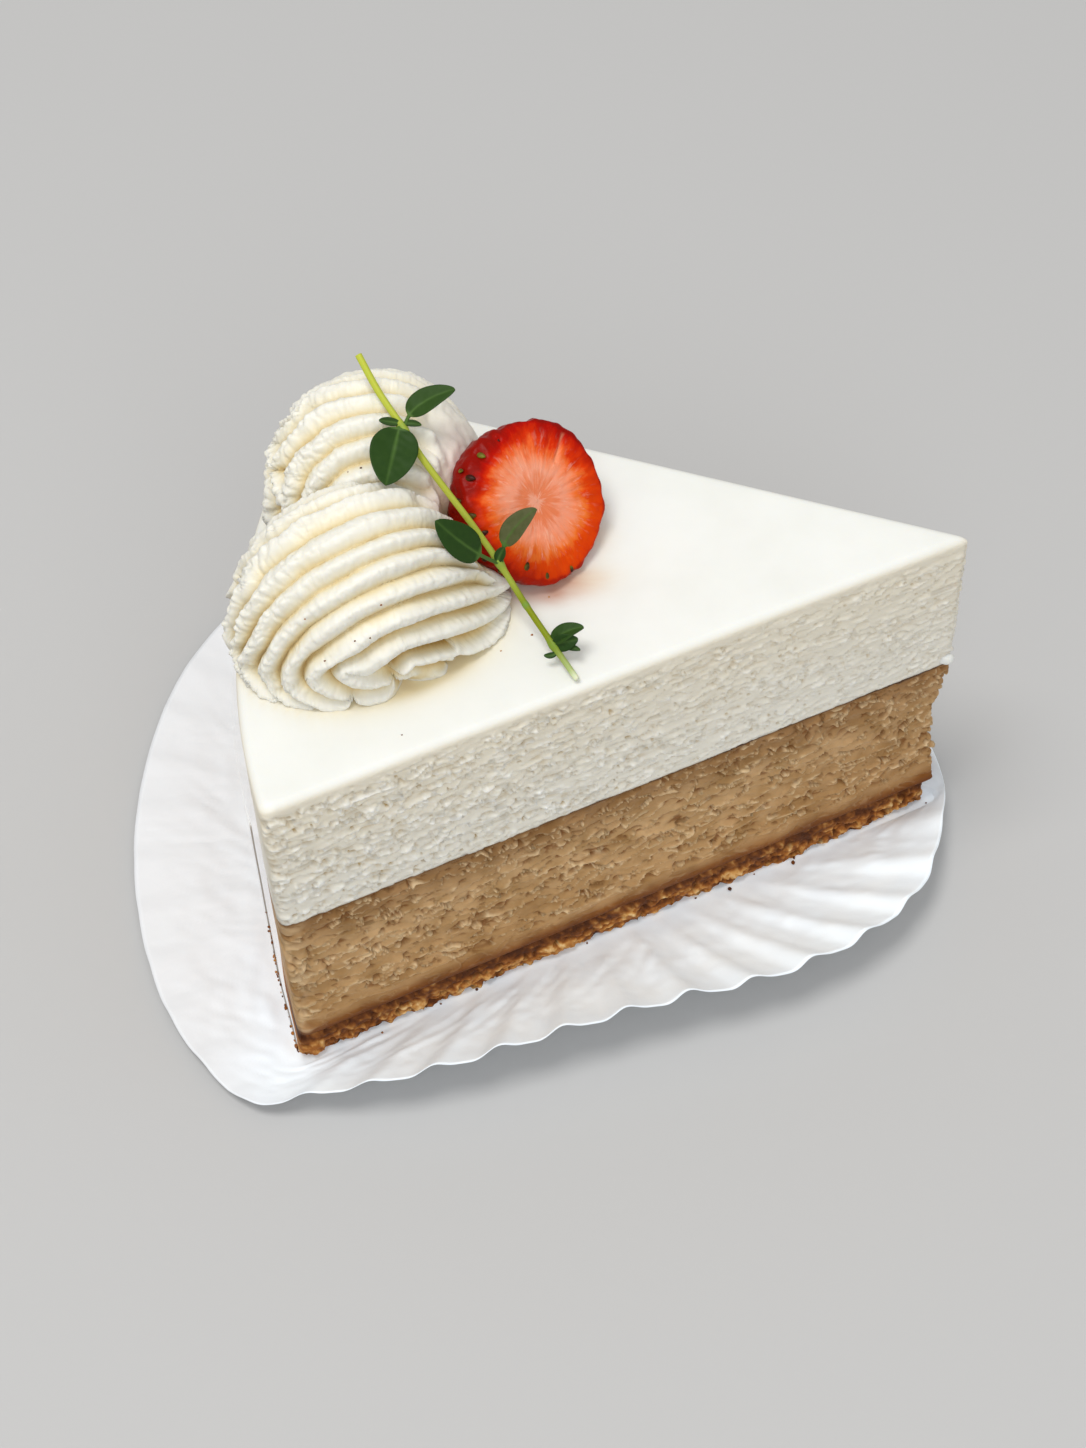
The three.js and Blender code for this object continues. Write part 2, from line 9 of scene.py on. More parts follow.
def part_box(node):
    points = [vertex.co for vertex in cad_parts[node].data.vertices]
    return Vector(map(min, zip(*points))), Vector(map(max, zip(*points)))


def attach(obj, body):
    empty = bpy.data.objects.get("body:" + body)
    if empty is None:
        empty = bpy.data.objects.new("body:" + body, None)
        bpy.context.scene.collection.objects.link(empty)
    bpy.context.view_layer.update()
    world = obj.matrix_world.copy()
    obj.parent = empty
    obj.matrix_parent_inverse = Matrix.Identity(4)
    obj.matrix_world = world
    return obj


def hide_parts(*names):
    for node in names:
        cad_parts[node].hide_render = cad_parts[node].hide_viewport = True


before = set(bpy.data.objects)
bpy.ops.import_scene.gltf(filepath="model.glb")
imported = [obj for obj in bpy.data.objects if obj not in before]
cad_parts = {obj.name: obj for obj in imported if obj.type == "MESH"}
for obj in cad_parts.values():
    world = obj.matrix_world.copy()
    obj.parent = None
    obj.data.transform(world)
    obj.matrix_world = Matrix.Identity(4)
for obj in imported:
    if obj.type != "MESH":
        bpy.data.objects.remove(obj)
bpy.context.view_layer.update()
print("frame loaded:", sorted(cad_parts))

sliceOrigin = np.array([58.0, 0.0, 0.5])  # where the slice's frame sits in the part's


def toPart(points):
    return (np.asarray(points, float) + sliceOrigin) * 0.001


def heightsOf(node):  # lowest and highest level of a node, in the slice's frame
    low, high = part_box(node)
    return low.z * 1000 - sliceOrigin[2], high.z * 1000 - sliceOrigin[2]


biscuitLevels = heightsOf("biscuit_base")
bakedLevels = heightsOf("baked_cheese_layer")
whiteLevels = heightsOf("white_cheese_layer")
sliceTop = whiteLevels[1]


# Small maths

def unit(vectors):
    vectors = np.asarray(vectors, float)
    return vectors / np.maximum(np.linalg.norm(vectors, axis=-1, keepdims=True), 1e-12)


def heading(angle):
    return np.array([math.cos(math.radians(angle)), math.sin(math.radians(angle))])


def ease(values, low, high):  # 0 below low, 1 above high, smooth between
    share = np.clip((np.asarray(values) - low) / (high - low), 0, 1)
    return share * share * (3 - 2 * share)


def near(points, middle, reach):  # 1 at a place, falling off round it
    distance = np.linalg.norm((points - np.array(middle)) / np.array(reach), axis=-1)
    return np.exp(-distance * distance)


def spotted(points, spots):  # soft spots added up: place, reach and strength of each
    return sum(strength * near(points, place, reach) for place, reach, strength in spots)


def ledges(values, drop):  # rises from 0 to 1 over each whole number, then falls within the share called drop
    part = values - np.floor(values)
    return np.minimum(part / (1 - drop), (1 - part) / drop)


def randomAt(cells, seed):  # a fixed random number from 0 to 1 for each cell
    x, y, z = (np.asarray(cells[..., i]).astype(np.int64) for i in range(3))
    code = (x * 73856093) ^ (y * 19349663) ^ (z * 83492791) ^ (seed * 40503 + 977)
    code = ((code ^ (code >> 13)) & 0xFFFFFFFF) * 1274126177 & 0xFFFFFFFF
    code = ((code ^ (code >> 16)) * 668265263) & 0xFFFFFFFF
    return ((code ^ (code >> 15)) & 0xFFFFFF) / 0xFFFFFF


def noise(points, size, seed=0, octaves=1):  # smooth noise, about -1 to 1, with bumps of one size
    points = np.asarray(points, float) / size
    total = np.zeros(points.shape[:-1])
    strength = 1.6
    for octave in range(octaves):
        cell = np.floor(points)
        inside = points - cell
        fade = inside ** 3 * (inside * (inside * 6 - 15) + 10)
        for corner in np.ndindex(2, 2, 2):
            corner = np.array(corner)
            turn = 2 * math.pi * randomAt(cell + corner, seed + 31 * octave)
            lift = 2 * randomAt(cell + corner, seed + 31 * octave + 7) - 1
            flat = np.sqrt(1 - lift * lift)
            away = inside - corner
            slope = (away[..., 0] * np.cos(turn) + away[..., 1] * np.sin(turn)) * flat + away[..., 2] * lift
            weight = np.prod(np.where(corner == 1, fade, 1 - fade), axis=-1)
            total += strength * weight * slope
        points = points * 2
        strength *= 0.5
    return total


def patches(points, size, seed, low, high, octaves=1):  # 0 to 1, in patches of one size
    return ease(noise(points, size, seed, octaves), low, high)


def thinLines(values, width):  # 1 where the values cross zero, falling to 0 within a width
    return ease(width - np.abs(values), 0, width)


# Mesh making

def gridFaces(rows, columns, closed=True):
    around = columns if closed else columns - 1
    row, column = np.meshgrid(np.arange(rows - 1), np.arange(around), indexing="ij")
    right = (column + 1) % columns
    corners = [row * columns + column, row * columns + right,
               (row + 1) * columns + right, (row + 1) * columns + column]
    return np.stack(corners, axis=-1).reshape(-1, 4).tolist()


def fanFaces(ring, middle):
    return [[a, b, middle] for a, b in zip(ring, np.roll(ring, -1))]


def closedFaces(rings, around):  # faces of a skin made of rings, closed by the two points that follow them
    count = rings * around
    return (gridFaces(rings, around) + fanFaces(np.arange(around), count)
            + fanFaces(np.arange(count - around, count), count + 1))


def newObject(name, data):
    made = bpy.data.objects.new(name, data)
    bpy.context.scene.collection.objects.link(made)
    return made


def newMesh(name, points, faces):  # its faces turned outwards
    mesh = bpy.data.meshes.new(name)
    mesh.from_pydata(toPart(points).tolist(), [], faces)
    shape = bmesh.new()
    shape.from_mesh(mesh)
    bmesh.ops.recalc_face_normals(shape, faces=shape.faces)
    shape.to_mesh(mesh)
    shape.free()
    return mesh


def finishMesh(mesh, material):
    mesh.polygons.foreach_set("use_smooth", [True] * len(mesh.polygons))
    mesh.materials.clear()
    mesh.materials.append(material)


def storeValues(mesh, values):  # a number or a vector for each point, read by the materials
    for key, value in values.items():
        value = np.asarray(value, np.float32)
        kind, field = ("FLOAT", "value") if value.ndim == 1 else ("FLOAT_VECTOR", "vector")
        mesh.attributes.new(key, kind, "POINT").data.foreach_set(field, value.ravel())


def addPiece(name, points, faces, material, slot, nodes=(), values=None):
    mesh = newMesh(name, points, faces)
    storeValues(mesh, values or {})
    finishMesh(mesh, material)
    piece = newObject(name, mesh)
    if nodes:
        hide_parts(*nodes)
    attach(piece, "root")
    print("piece", name, len(mesh.polygons), "faces")
    return piece


def joined(parts):  # several (points, faces) as one
    points, faces, start = [], [], 0
    for partPoints, partFaces in parts:
        points.append(np.asarray(partPoints, float))
        faces += [[corner + start for corner in face] for face in partFaces]
        start += len(partPoints)
    return np.vstack(points), faces


def readPoints(piece):  # a piece's points, back in the slice's frame
    flat = np.zeros(len(piece.data.vertices) * 3)
    piece.data.vertices.foreach_get("co", flat)
    return flat.reshape(-1, 3) * 1000 - sliceOrigin


# Material making

def hexColor(code):  # an sRGB hex value as linear colour
    parts = [int(code[i:i + 2], 16) / 255 for i in (1, 3, 5)]
    return [c / 12.92 if c <= 0.04045 else ((c + 0.055) / 1.055) ** 2.4 for c in parts] + [1.0]


def addNode(material, kind, settings=None, values=None, links=None):
    node = material.node_tree.nodes.new(kind)
    for key, value in (settings or {}).items():
        if key == "stops":
            for spare in list(node.color_ramp.elements)[1:]:
                node.color_ramp.elements.remove(spare)
            for i, (place, color) in enumerate(value):
                stop = node.color_ramp.elements[0] if i == 0 else node.color_ramp.elements.new(place)
                stop.position = place
                stop.color = hexColor(color) if isinstance(color, str) else [color, color, color, 1]
        else:
            setattr(node, key, value)
    for key, value in (values or {}).items():
        node.inputs[key].default_value = value
    for key, source in (links or {}).items():
        material.node_tree.links.new(source, node.inputs[key])
    return node


def newMaterial(name):
    material = bpy.data.materials.new(name)
    material.use_nodes = True
    material.node_tree.nodes.clear()
    return material


def perMillimetre(size):  # texture scale for features of a real size
    return 1000 / size


def layTints(material, color, tints):  # lays tints over a colour in turn, each by a value of the mesh
    for key, tint in tints.items():
        share = addNode(material, "ShaderNodeAttribute", {"attribute_name": key})
        mixed = addNode(material, "ShaderNodeMix", {"data_type": "RGBA"}, {7: hexColor(tint)},
                        {0: share.outputs["Fac"], 6: color})
        color = mixed.outputs[2]
    return color


def finishMaterial(material, links, values, grain=None, relief=None):  # relief: strength, and depth in mm
    if relief:
        strength, depth = relief
        bump = addNode(material, "ShaderNodeBump", None, {"Strength": strength, "Distance": depth * 0.001},
                       {"Height": grain})
        links = {**links, "Normal": bump.outputs["Normal"]}
    surface = addNode(material, "ShaderNodeBsdfPrincipled", None, values, links)
    addNode(material, "ShaderNodeOutputMaterial", links={"Surface": surface.outputs["BSDF"]})
    return material


# Outline of the slice, seen from above

cut = {"tip": (0.85, 0.35), "front": 101.0, "back": 91.5, "halfApex": 22.0, "rimBulge": 7.0, "tipReach": 12.0,
       "middle": (-62.0, 0.0), "cornerRound": 1.8, "cornerSteps": 8, "grain": 0.22, "backGrain": 0.5,
       "rimGrain": 1.0, "backApart": 57.0}  # backApart keeps the back cut's noise from mirroring the front's


def sliceCorners():
    tip = np.array(cut["tip"])
    front = tip + cut["front"] * heading(180 + cut["halfApex"])
    back = tip + cut["back"] * heading(180 - cut["halfApex"])
    chord = np.linalg.norm(front - back)
    radius = (chord ** 2 / 4 + cut["rimBulge"] ** 2) / (2 * cut["rimBulge"])
    inward = unit([back[1] - front[1], front[0] - back[0]])
    centre = (front + back) / 2 + inward * (radius - cut["rimBulge"])
    return tip, front, back, centre, radius


def sliceOutline(inset=0.0):  # points round the slice, their outward normals, and which cut each is on
    tip, front, back, centre, fullRadius = sliceCorners()
    radius = fullRadius - inset
    frontWay, backWay = unit(front - tip), unit(back - tip)
    innerTip = tip + heading(180) * inset / math.sin(math.radians(cut["halfApex"]))

    def onRim(way):
        offset = innerTip - centre
        along = offset @ way
        return innerTip + way * (math.sqrt(along ** 2 - offset @ offset + radius ** 2) - along)

    def angleOf(point):
        return math.degrees(math.atan2(*(point - centre)[::-1])) % 360

    innerFront, innerBack = onRim(frontWay), onRim(backWay)
    turn = math.degrees(cut["cornerRound"] / radius)
    rimFrom, rimTo = angleOf(innerFront) - turn, angleOf(innerBack) + turn
    rimStart, rimEnd = (centre + radius * heading(angle) for angle in (rimFrom, rimTo))
    soft = cut["cornerRound"]
    tipStart, tipEnd = innerTip + frontWay * soft, innerTip + backWay * soft
    frontEnd, backStart = innerFront - frontWay * soft, innerBack - backWay * soft

    def line(a, b, steps):
        return a + (b - a) * (np.arange(steps) / steps)[:, None]

    def bend(a, corner, b):
        share = (np.arange(cut["cornerSteps"]) / cut["cornerSteps"])[:, None]
        return a * (1 - share) ** 2 + corner * 2 * share * (1 - share) + b * share ** 2

    frontSteps = round(cut["front"] / cut["grain"])
    backSteps = round(cut["back"] / cut["backGrain"])
    rimSteps = round(np.linalg.norm(front - back) / cut["rimGrain"])
    arcAngles = np.radians(rimFrom + (rimTo - rimFrom) * np.arange(rimSteps) / rimSteps)
    arc = centre + radius * np.stack([np.cos(arcAngles), np.sin(arcAngles)], axis=-1)
    runs = [line(tipStart, frontEnd, frontSteps), bend(frontEnd, innerFront, rimStart), arc,
            bend(rimEnd, innerBack, backStart), line(backStart, tipEnd, backSteps),
            bend(tipEnd, innerTip, tipStart)]
    points = np.vstack(runs)
    across = np.roll(points, -1, axis=0) - np.roll(points, 1, axis=0)
    normals = unit(np.stack([-across[:, 1], across[:, 0]], axis=-1))
    which = np.concatenate([np.full(len(run), i) for i, run in enumerate(runs)])
    return points, normals, which


outline, outlineNormals, outlineRun = sliceOutline()
onCut = np.isin(outlineRun, (0, 1, 3, 4, 5)).astype(float)  # the film has smoothed the rim
onCut = ease(np.convolve(np.tile(onCut, 3), np.ones(9) / 9, "same")[len(onCut):2 * len(onCut)], 0.2, 1.0)
fromTip = np.linalg.norm(outline - np.array(cut["tip"]), axis=1)
onBack = (outline[:, 1] > 0).astype(float)


def cutPlaces(heights, slant, stretch):  # places on the cut faces, turned by a slant and squeezed lengthwise
    along, up = np.meshgrid(fromTip, heights)
    cosine, sine = heading(slant)
    length = along * cosine + up * sine
    across = -along * sine + up * cosine
    side = np.broadcast_to(onBack * cut["backApart"], along.shape)
    return np.stack([length / stretch, across, side], axis=-1)


def wallPoints(levels, relief, tipSetback):  # levels are (height, inset); relief pushes the wall out
    rows = []
    atTip = np.maximum(0, 1 - fromTip / cut["tipReach"])
    for (height, inset), push, back in zip(levels, relief, tipSetback):
        flat, normals, _ = sliceOutline(inset) if inset else (outline, outlineNormals, None)
        flat = flat + normals * push[:, None]
        flat = flat + heading(180) * (back * atTip)[:, None]
        rows.append(np.column_stack([flat, np.full(len(flat), height)]))
    return np.stack(rows)


def closeWall(wall, topRings=0, topShape=None):  # the wall's grid with a floor, and rings across its top
    rows, columns, _ = wall.shape
    middle = np.array(cut["middle"])
    points = [wall.reshape(-1, 3)]
    rim = wall[-1]
    for k in range(1, topRings):
        share = 1 - k / topRings
        ring = rim.copy()
        ring[:, :2] = middle + (rim[:, :2] - middle) * share
        ring[:, 2] = rim[:, 2] + topShape(ring[:, :2], share)
        points.append(ring)
    low, high = wall[0, :, 2].mean(), rim[:, 2].mean()
    if topRings:
        high += topShape(middle[None], 0)[0]
    points.append(np.array([[*middle, low], [*middle, high]]))
    return np.vstack(points), closedFaces(rows + max(0, topRings - 1), columns)


def wallValues(values, count):  # a value for each wall point, and 0 for the points of the caps
    values = values.reshape(values.shape[0] * values.shape[1], *values.shape[2:])
    return np.concatenate([values, np.zeros((count - len(values), *values.shape[1:]))])


# White layer: set cream cheese, poured smooth on top and drawn into fine streaks by the knife

whiteLook = {"rowGrain": 0.3, "edgeRound": 1.2, "edgeSteps": 6, "rings": 25, "slant": -5.0, "ledge": 0.75,
             "dab": 0.4, "groove": 0.65, "pore": 0.4, "fine": 0.07, "wave": 0.12, "topWave": 0.07,
             "calmTip": (10, 88), "dryTop": (3, 24), "shadeReach": (0.6, 0.7), "lightFrom": (0.5, -0.8),
             "drop": {"size": (1.3, 0.9, 0.9), "back": 0.75, "above": 0.75}}
# Spots on the poured top, from its level: place, reach and strength. Under the berry: juice, darkened as
# painted shadow of the berry. Beside it: painted shadow only
juiceAndShadowSpots = [((-55.6, -5.0, 0), (4.2, 2.0, 4), 0.8), ((-51.6, -3.0, 0), (3.2, 2.2, 4), 0.5)]
berryShadowSpots = [((-48.6, 4.4, 0), (2.0, 3.4, 4), 0.3), ((-51.0, -3.0, 0), (4.0, 2.4, 4), 0.35)]


def whiteMaterial():
    # Set cream cheese: dense and moist, so it is close to white, glows a little and shines softly
    material = newMaterial("setCreamCheesePoured")
    place = addNode(material, "ShaderNodeTexCoord")
    cutFace = addNode(material, "ShaderNodeAttribute", {"attribute_name": "cutFace"})
    drawn = addNode(material, "ShaderNodeAttribute", {"attribute_name": "drawn"})
    cloud = addNode(material, "ShaderNodeTexNoise", None,
                    {"Scale": perMillimetre(7), "Detail": 3.0}, {"Vector": place.outputs["Object"]})
    body = addNode(material, "ShaderNodeValToRGB", {"stops": [(0.3, "#e0e0da"), (0.7, "#e4e4df")]},
                   None, {"Fac": cloud.outputs["Fac"]})
    # pore darkens the pores, grooves and the ledges' undersides as painted shade; fleck is a painted
    # highlight on the ledges' lips and on the dabs
    color = layTints(material, body.outputs["Color"], {
        "cutFace": "#e6decb", "pore": "#b09050", "fleck": "#fdfcf6", "castShade": "#dfcb96", "stainAndShade": "#bf7c56"})
    streak = addNode(material, "ShaderNodeTexNoise", None, {"Scale": 1.6, "Detail": 4.0},
                     {"Vector": drawn.outputs["Vector"]})  # in millimetres, drawn out lengthwise
    onlyCut = addNode(material, "ShaderNodeMath", {"operation": "MULTIPLY"}, None,
                      {0: streak.outputs["Fac"], 1: cutFace.outputs["Fac"]})
    return finishMaterial(material, {"Base Color": color},
                          {"Roughness": 0.38, "IOR": 1.4, "Subsurface Weight": 0.14,
                           "Subsurface Scale": 0.001, "Subsurface Radius": (1.0, 0.85, 0.6)},
                          onlyCut.outputs["Value"], (0.4, 0.3))


def whiteTop(flat, share):  # the poured top is not quite level
    places = np.column_stack([flat, np.zeros(len(flat))])
    return whiteLook["topWave"] * noise(places, 13, 3, 2) * (1 - share) ** 0.3


def shellShade(points):  # the buttery shade that the cream shells throw on the top beside their feet
    shade = np.zeros(len(points))
    for shell in (frontShell, backShell):
        outside = (eggValue(shell, points) - 1) * shell["half"]
        lee = unit((points - shell["middle"])[:, :2]) @ unit(whiteLook["lightFrom"])
        reach = whiteLook["shadeReach"][0] + whiteLook["shadeReach"][1] * ease(lee, 0.2, 1.0)
        shade = np.maximum(shade, (0.55 + 0.2 * ease(lee, 0, 1)) * np.exp(-np.maximum(outside, 0) / reach))
    return shade


def buildWhite():
    look = whiteLook
    low, high = whiteLevels
    heights = np.arange(low, high - look["edgeRound"], look["rowGrain"])
    arcs = np.radians(np.linspace(0, 90, look["edgeSteps"]))
    insets = look["edgeRound"] * (1 - np.cos(arcs))
    levels = [(h, 0.0) for h in heights]
    levels += [(high - look["edgeRound"] * (1 - math.sin(a)), i) for a, i in zip(arcs, insets)]
    levelHeights = np.array([level[0] for level in levels])
    below = high - levelHeights

    # the knife draws the curd into streaks: steps with a sharp lip, dabs, grooves and small pores
    drawnOut = cutPlaces(levelHeights, look["slant"], 3.6)
    bent = drawnOut + (0.4 * noise(drawnOut, 1.3, 9))[..., None] * np.array([0, 1, 0])
    rise = ledges(1.15 * noise(bent, 1.15, 13) + 0.3 * noise(bent, 0.6, 14) - bent[..., 1] / 2.3, 0.14)
    patch = patches(drawnOut, 1.8, 17, -0.75, 0.05)
    dabs = patches(cutPlaces(levelHeights, look["slant"] - 8, 4.6), 0.62, 37, 0.3, 0.55)
    dabs *= patches(drawnOut, 2.2, 19, -0.5, 0.15)
    grooves = thinLines(noise(bent, 1.1, 29), 0.1) * patches(drawnOut, 1.4, 31, 0.1, 0.4)
    pores = patches(cutPlaces(levelHeights, look["slant"] - 5, 2.0), 0.55, 23, 0.54, 0.68)
    fine = noise(cutPlaces(levelHeights, look["slant"], 2.0), 0.6, 11, 2)
    drawn = onCut[None, :] * ease(below, 0.9, 3.4)[:, None]
    drawn = drawn * (0.2 + 0.8 * ease(levelHeights - low, 0.1, 1.1)[:, None])
    drawn = drawn * (0.5 + 0.5 * ease(fromTip + 14 * noise(drawnOut, 6, 43), *look["calmTip"]))
    relief = look["ledge"] * (rise - 0.5) * patch + look["dab"] * dabs - look["groove"] * grooves
    relief = drawn * (relief + look["fine"] * fine - look["pore"] * pores)
    relief += look["wave"] * noise(cutPlaces(levelHeights, 0, 1.3), 7, 41) * ease(below, 1.0, 6.0)[:, None]
    points, faces = closeWall(wallPoints(levels, relief, relief * 0), look["rings"], whiteTop)

    # what the material reads
    # under is the shaded underside of each ledge: with pores and grooves it is darkened as painted shade, and
    # flecks are a painted highlight on the lips and dabs
    under = patch * ease(0.22 - rise, 0, 0.16)
    flecks = 0.75 * patch * ease(rise, 0.8, 1.0) + 0.8 * dabs
    cutTone = ease(below, 0.05, 1.1) * (1.0 - 0.4 * ease(below, *look["dryTop"]))
    onWall = {"pore": np.maximum(pores, np.maximum(0.45 * grooves, 0.42 * under)) * drawn,
              "fleck": np.clip(flecks * drawn, 0, 1) * 0.8,
              "cutFace": np.broadcast_to(cutTone[:, None], relief.shape),
              "drawn": cutPlaces(levelHeights, look["slant"], 2.6)}
    values = {key: wallValues(value, len(points)) for key, value in onWall.items()}
    fromTop = points - (0, 0, sliceTop)
    # juice under the berry, darkened as painted shadow of the berry
    juiceAndShadow = spotted(fromTop, juiceAndShadowSpots) * (0.8 + 0.3 * noise(points, 2.5, 5, 2))
    values["stainAndShade"] = np.clip(juiceAndShadow, 0, 1) * (fromTop[:, 2] > -0.5)
    # painted shadow: the shade of the shells and of the berry laid on the top as a buttery tint
    castShade = shellShade(fromTop) + spotted(fromTop, berryShadowSpots)
    values["castShade"] = np.clip(castShade, 0, 1) * (fromTop[:, 2] > -0.6)

    drop = whiteDrop()
    values = {key: np.concatenate([value, np.zeros((len(drop[0]), *value.shape[1:]))])
              for key, value in values.items()}
    points, faces = joined([(points, faces), drop])
    addPiece("whiteCheese", points, faces, whiteMaterial(), "white_cheese", ["white_cheese_layer"], values)


def whiteDrop():  # a drop that the knife pulled out at the tip, just above the baked layer
    drop = whiteLook["drop"]
    points, faces = ballPoints(24, 14)
    size = np.array(drop["size"]) * (1 + 0.12 * noise(points, 0.8, 71))[:, None]
    return points * size + np.array([-drop["back"], 0.0, bakedLevels[1] + drop["above"]]), faces


def ballPoints(around, rows):  # a unit ball: points and faces
    lift = np.radians(np.linspace(-90, 90, rows))[1:-1]
    turn = np.arange(around) * 2 * math.pi / around
    ring = np.stack([np.outer(np.cos(lift), np.cos(turn)), np.outer(np.cos(lift), np.sin(turn)),
                     np.repeat(np.sin(lift)[:, None], around, axis=1)], axis=-1)
    return np.vstack([ring.reshape(-1, 3), [[0, 0, -1], [0, 0, 1]]]), closedFaces(len(lift), around)


# Baked layer: dense baked cheese that the knife tears into pits and lips

bakedLook = {"rowGrain": 0.22, "slant": -5.0, "ledge": 0.9, "pit": 0.8, "crease": 0.8, "lip": 0.4,
             "rough": 0.08, "wave": 0.3, "tipSetback": 1.6, "darkTip": 42, "cornerFrom": (97, 100),
             "cornerSide": -33, "skinTo": 62, "skinFade": 22, "skinThick": 0.014, "skinAll": 0.45}


def bakedMaterial():
    # Baked cheese: matt and dense, tan, greyer under the white layer and soaked brown just over the biscuit
    material = newMaterial("bakedCheeseKnifeCut")
    place = addNode(material, "ShaderNodeTexCoord")
    level = addNode(material, "ShaderNodeAttribute", {"attribute_name": "level"})
    cloud = addNode(material, "ShaderNodeTexNoise", None,
                    {"Scale": perMillimetre(5), "Detail": 5.0}, {"Vector": place.outputs["Object"]})
    body = addNode(material, "ShaderNodeValToRGB", {"stops": [(0.32, "#a68152"), (0.68, "#caa577")]},
                   None, {"Fac": cloud.outputs["Fac"]})
    tone = addNode(material, "ShaderNodeValToRGB",
                   {"stops": [(0.0, "#93663a"), (0.04, "#b48c56"), (0.085, "#dcccb6"), (0.13, "#f6eee2"),
                              (0.7, "#ffffff"), (0.95, "#cfc3b5"), (1.0, "#bfb09e")]},
                   None, {"Fac": level.outputs["Fac"]})
    toned = addNode(material, "ShaderNodeMix", {"data_type": "RGBA", "blend_type": "MULTIPLY"}, {0: 1.0},
                    {6: body.outputs["Color"], 7: tone.outputs["Color"]})
    # pit darkens pits, creases and the ledges' undersides as painted shade; lip is a painted highlight on the
    # lips, and makes the worn corner paler
    color = layTints(material, toned.outputs[2], {"pit": "#7c4d22", "lip": "#e8cba0", "skin": "#4a2f1d"})
    grain = addNode(material, "ShaderNodeTexNoise", None,
                    {"Scale": perMillimetre(0.45), "Detail": 5.0}, {"Vector": place.outputs["Object"]})
    return finishMaterial(material, {"Base Color": color},
                          {"Roughness": 0.5, "IOR": 1.42, "Specular IOR Level": 0.18,
                           "Subsurface Weight": 0.06, "Subsurface Scale": 0.001,
                           "Subsurface Radius": (1.0, 0.6, 0.3)},
                          grain.outputs["Fac"], (0.25, 0.2))


def buildBaked():
    look = bakedLook
    low, high = bakedLevels
    heights = np.linspace(low, high, round((high - low) / look["rowGrain"]))
    shareUp = (heights - low) / (high - low)
    edge = np.minimum(ease(shareUp, 0, 0.05), ease(1 - shareUp, 0, 0.03))[:, None]
    calm = onCut[None, :] * (0.15 + 0.85 * ease(shareUp, 0.1, 0.2)[:, None])

    # the knife tears the curd: pits, steps with a pale lip, and crescents that are dark beside a pale lip
    places = cutPlaces(heights, look["slant"], 2.0)
    warp = noise(places, 1.8, 51)
    warped = places + np.stack([warp * 0.5, warp * 0.6, np.zeros_like(warp)], axis=-1)
    crowd = noise(places, 5, 55)
    pits = ease(noise(warped, 0.8, 61) + 0.12 * crowd, 0.45, 0.56)
    deepPits = ease(noise(warped, 1.2, 67) + 0.1 * crowd, 0.56, 0.65)
    tear = noise(warped, 1.9, 69)
    torn = ease(noise(warped, 1.7, 71) + 0.2 * crowd, 0.05, 0.28)
    creases, tornLips = torn * thinLines(tear, 0.09), torn * thinLines(tear - 0.13, 0.08)
    rise = ledges(1.0 * noise(warped, 2.0, 73) + 0.3 * noise(warped, 0.8, 74) - places[..., 1] / 2.7, 0.1)
    ledgeHere = patches(places, 2.1, 81, -0.5, 0.1)
    pits = np.clip(pits * 0.8 + deepPits, 0, 1) * calm * edge
    relief = look["ledge"] * (rise - 0.5) * ledgeHere + look["lip"] * tornLips - look["crease"] * creases
    relief = (relief + look["rough"] * noise(warped, 0.55, 83, 2)) * calm * edge - look["pit"] * pits
    relief += look["wave"] * noise(cutPlaces(heights, 0, 1.2), 8, 89) * edge * (0.2 + 0.8 * onCut[None, :])

    # the corner by the rim is worn
    worn = ease(fromTip, *look["cornerFrom"])[None, :] * (outline[:, 1] < look["cornerSide"]) * edge
    relief -= worn * patches(places, 1.6, 93, 0, 0.5, 2) * 0.7
    setback = np.repeat((look["tipSetback"] * np.sin(math.pi * shareUp))[:, None], len(outline), axis=1)
    points, faces = closeWall(wallPoints([(h, 0.0) for h in heights], relief, setback))

    # what the material reads
    # painted highlight on the lips and a paler worn corner; painted shade in pits, creases and under the
    # ledges
    lips = np.maximum(ledgeHere * ease(rise, 0.84, 1.0) * 0.8, tornLips) * calm * edge * 0.9
    lips = np.maximum(lips, 0.45 * worn * patches(places, 1.4, 87, -0.3, 0.4, 2))
    under = ledgeHere * ease(0.24 - rise, 0, 0.16)
    pits = np.maximum(pits, 0.14 * ease(look["darkTip"] - fromTip, 0, 30)[None, :])  # a little darker towards the tip
    pits = np.maximum(pits, np.maximum(creases, 0.85 * under) * calm * edge)
    fromTop = shareUp[:, None] - 1
    skinWidth = look["skinThick"] * (1 + noise(cutPlaces(heights, 0, 1), 6, 97))
    skinHere = ease(look["skinTo"] - fromTip, 0, look["skinFade"]) * onCut
    skin = ease(fromTop + skinWidth, 0, 0.012) * skinHere + look["skinAll"] * ease(fromTop + 0.02, 0, 0.02)
    soaked = 0.022 * noise(cutPlaces(heights, 0, 2), 3, 91, 2) * ease(0.4 - shareUp, 0, 0.3)[:, None]
    onWall = {"pit": pits, "lip": lips, "level": shareUp[:, None] + soaked, "skin": np.clip(skin, 0, 1)}
    values = {key: wallValues(value, len(points)) for key, value in onWall.items()}
    addPiece("bakedCheese", points, faces, bakedMaterial(), "baked_cheese", ["baked_cheese_layer"], values)


# Biscuit base: crumbs pressed with butter

# The larger chunks are given by distance from the tip, height, half width, half height and toast
biscuitLook = {"rowGrain": 0.24, "out": 0.2, "lump": 0.5, "fine": 0.24, "hole": 0.6, "wave": 0.3,
               "tipSetback": 1.4, "slant": 6, "stretch": 1.15, "chunkOut": 0.45,
               "chunks": [(34.5, 2.2, 1.9, 0.9, 0.62), (61.5, 1.4, 2.2, 0.8, 0.5),
                          (99.3, 1.9, 1.6, 1.2, 0.4)]}


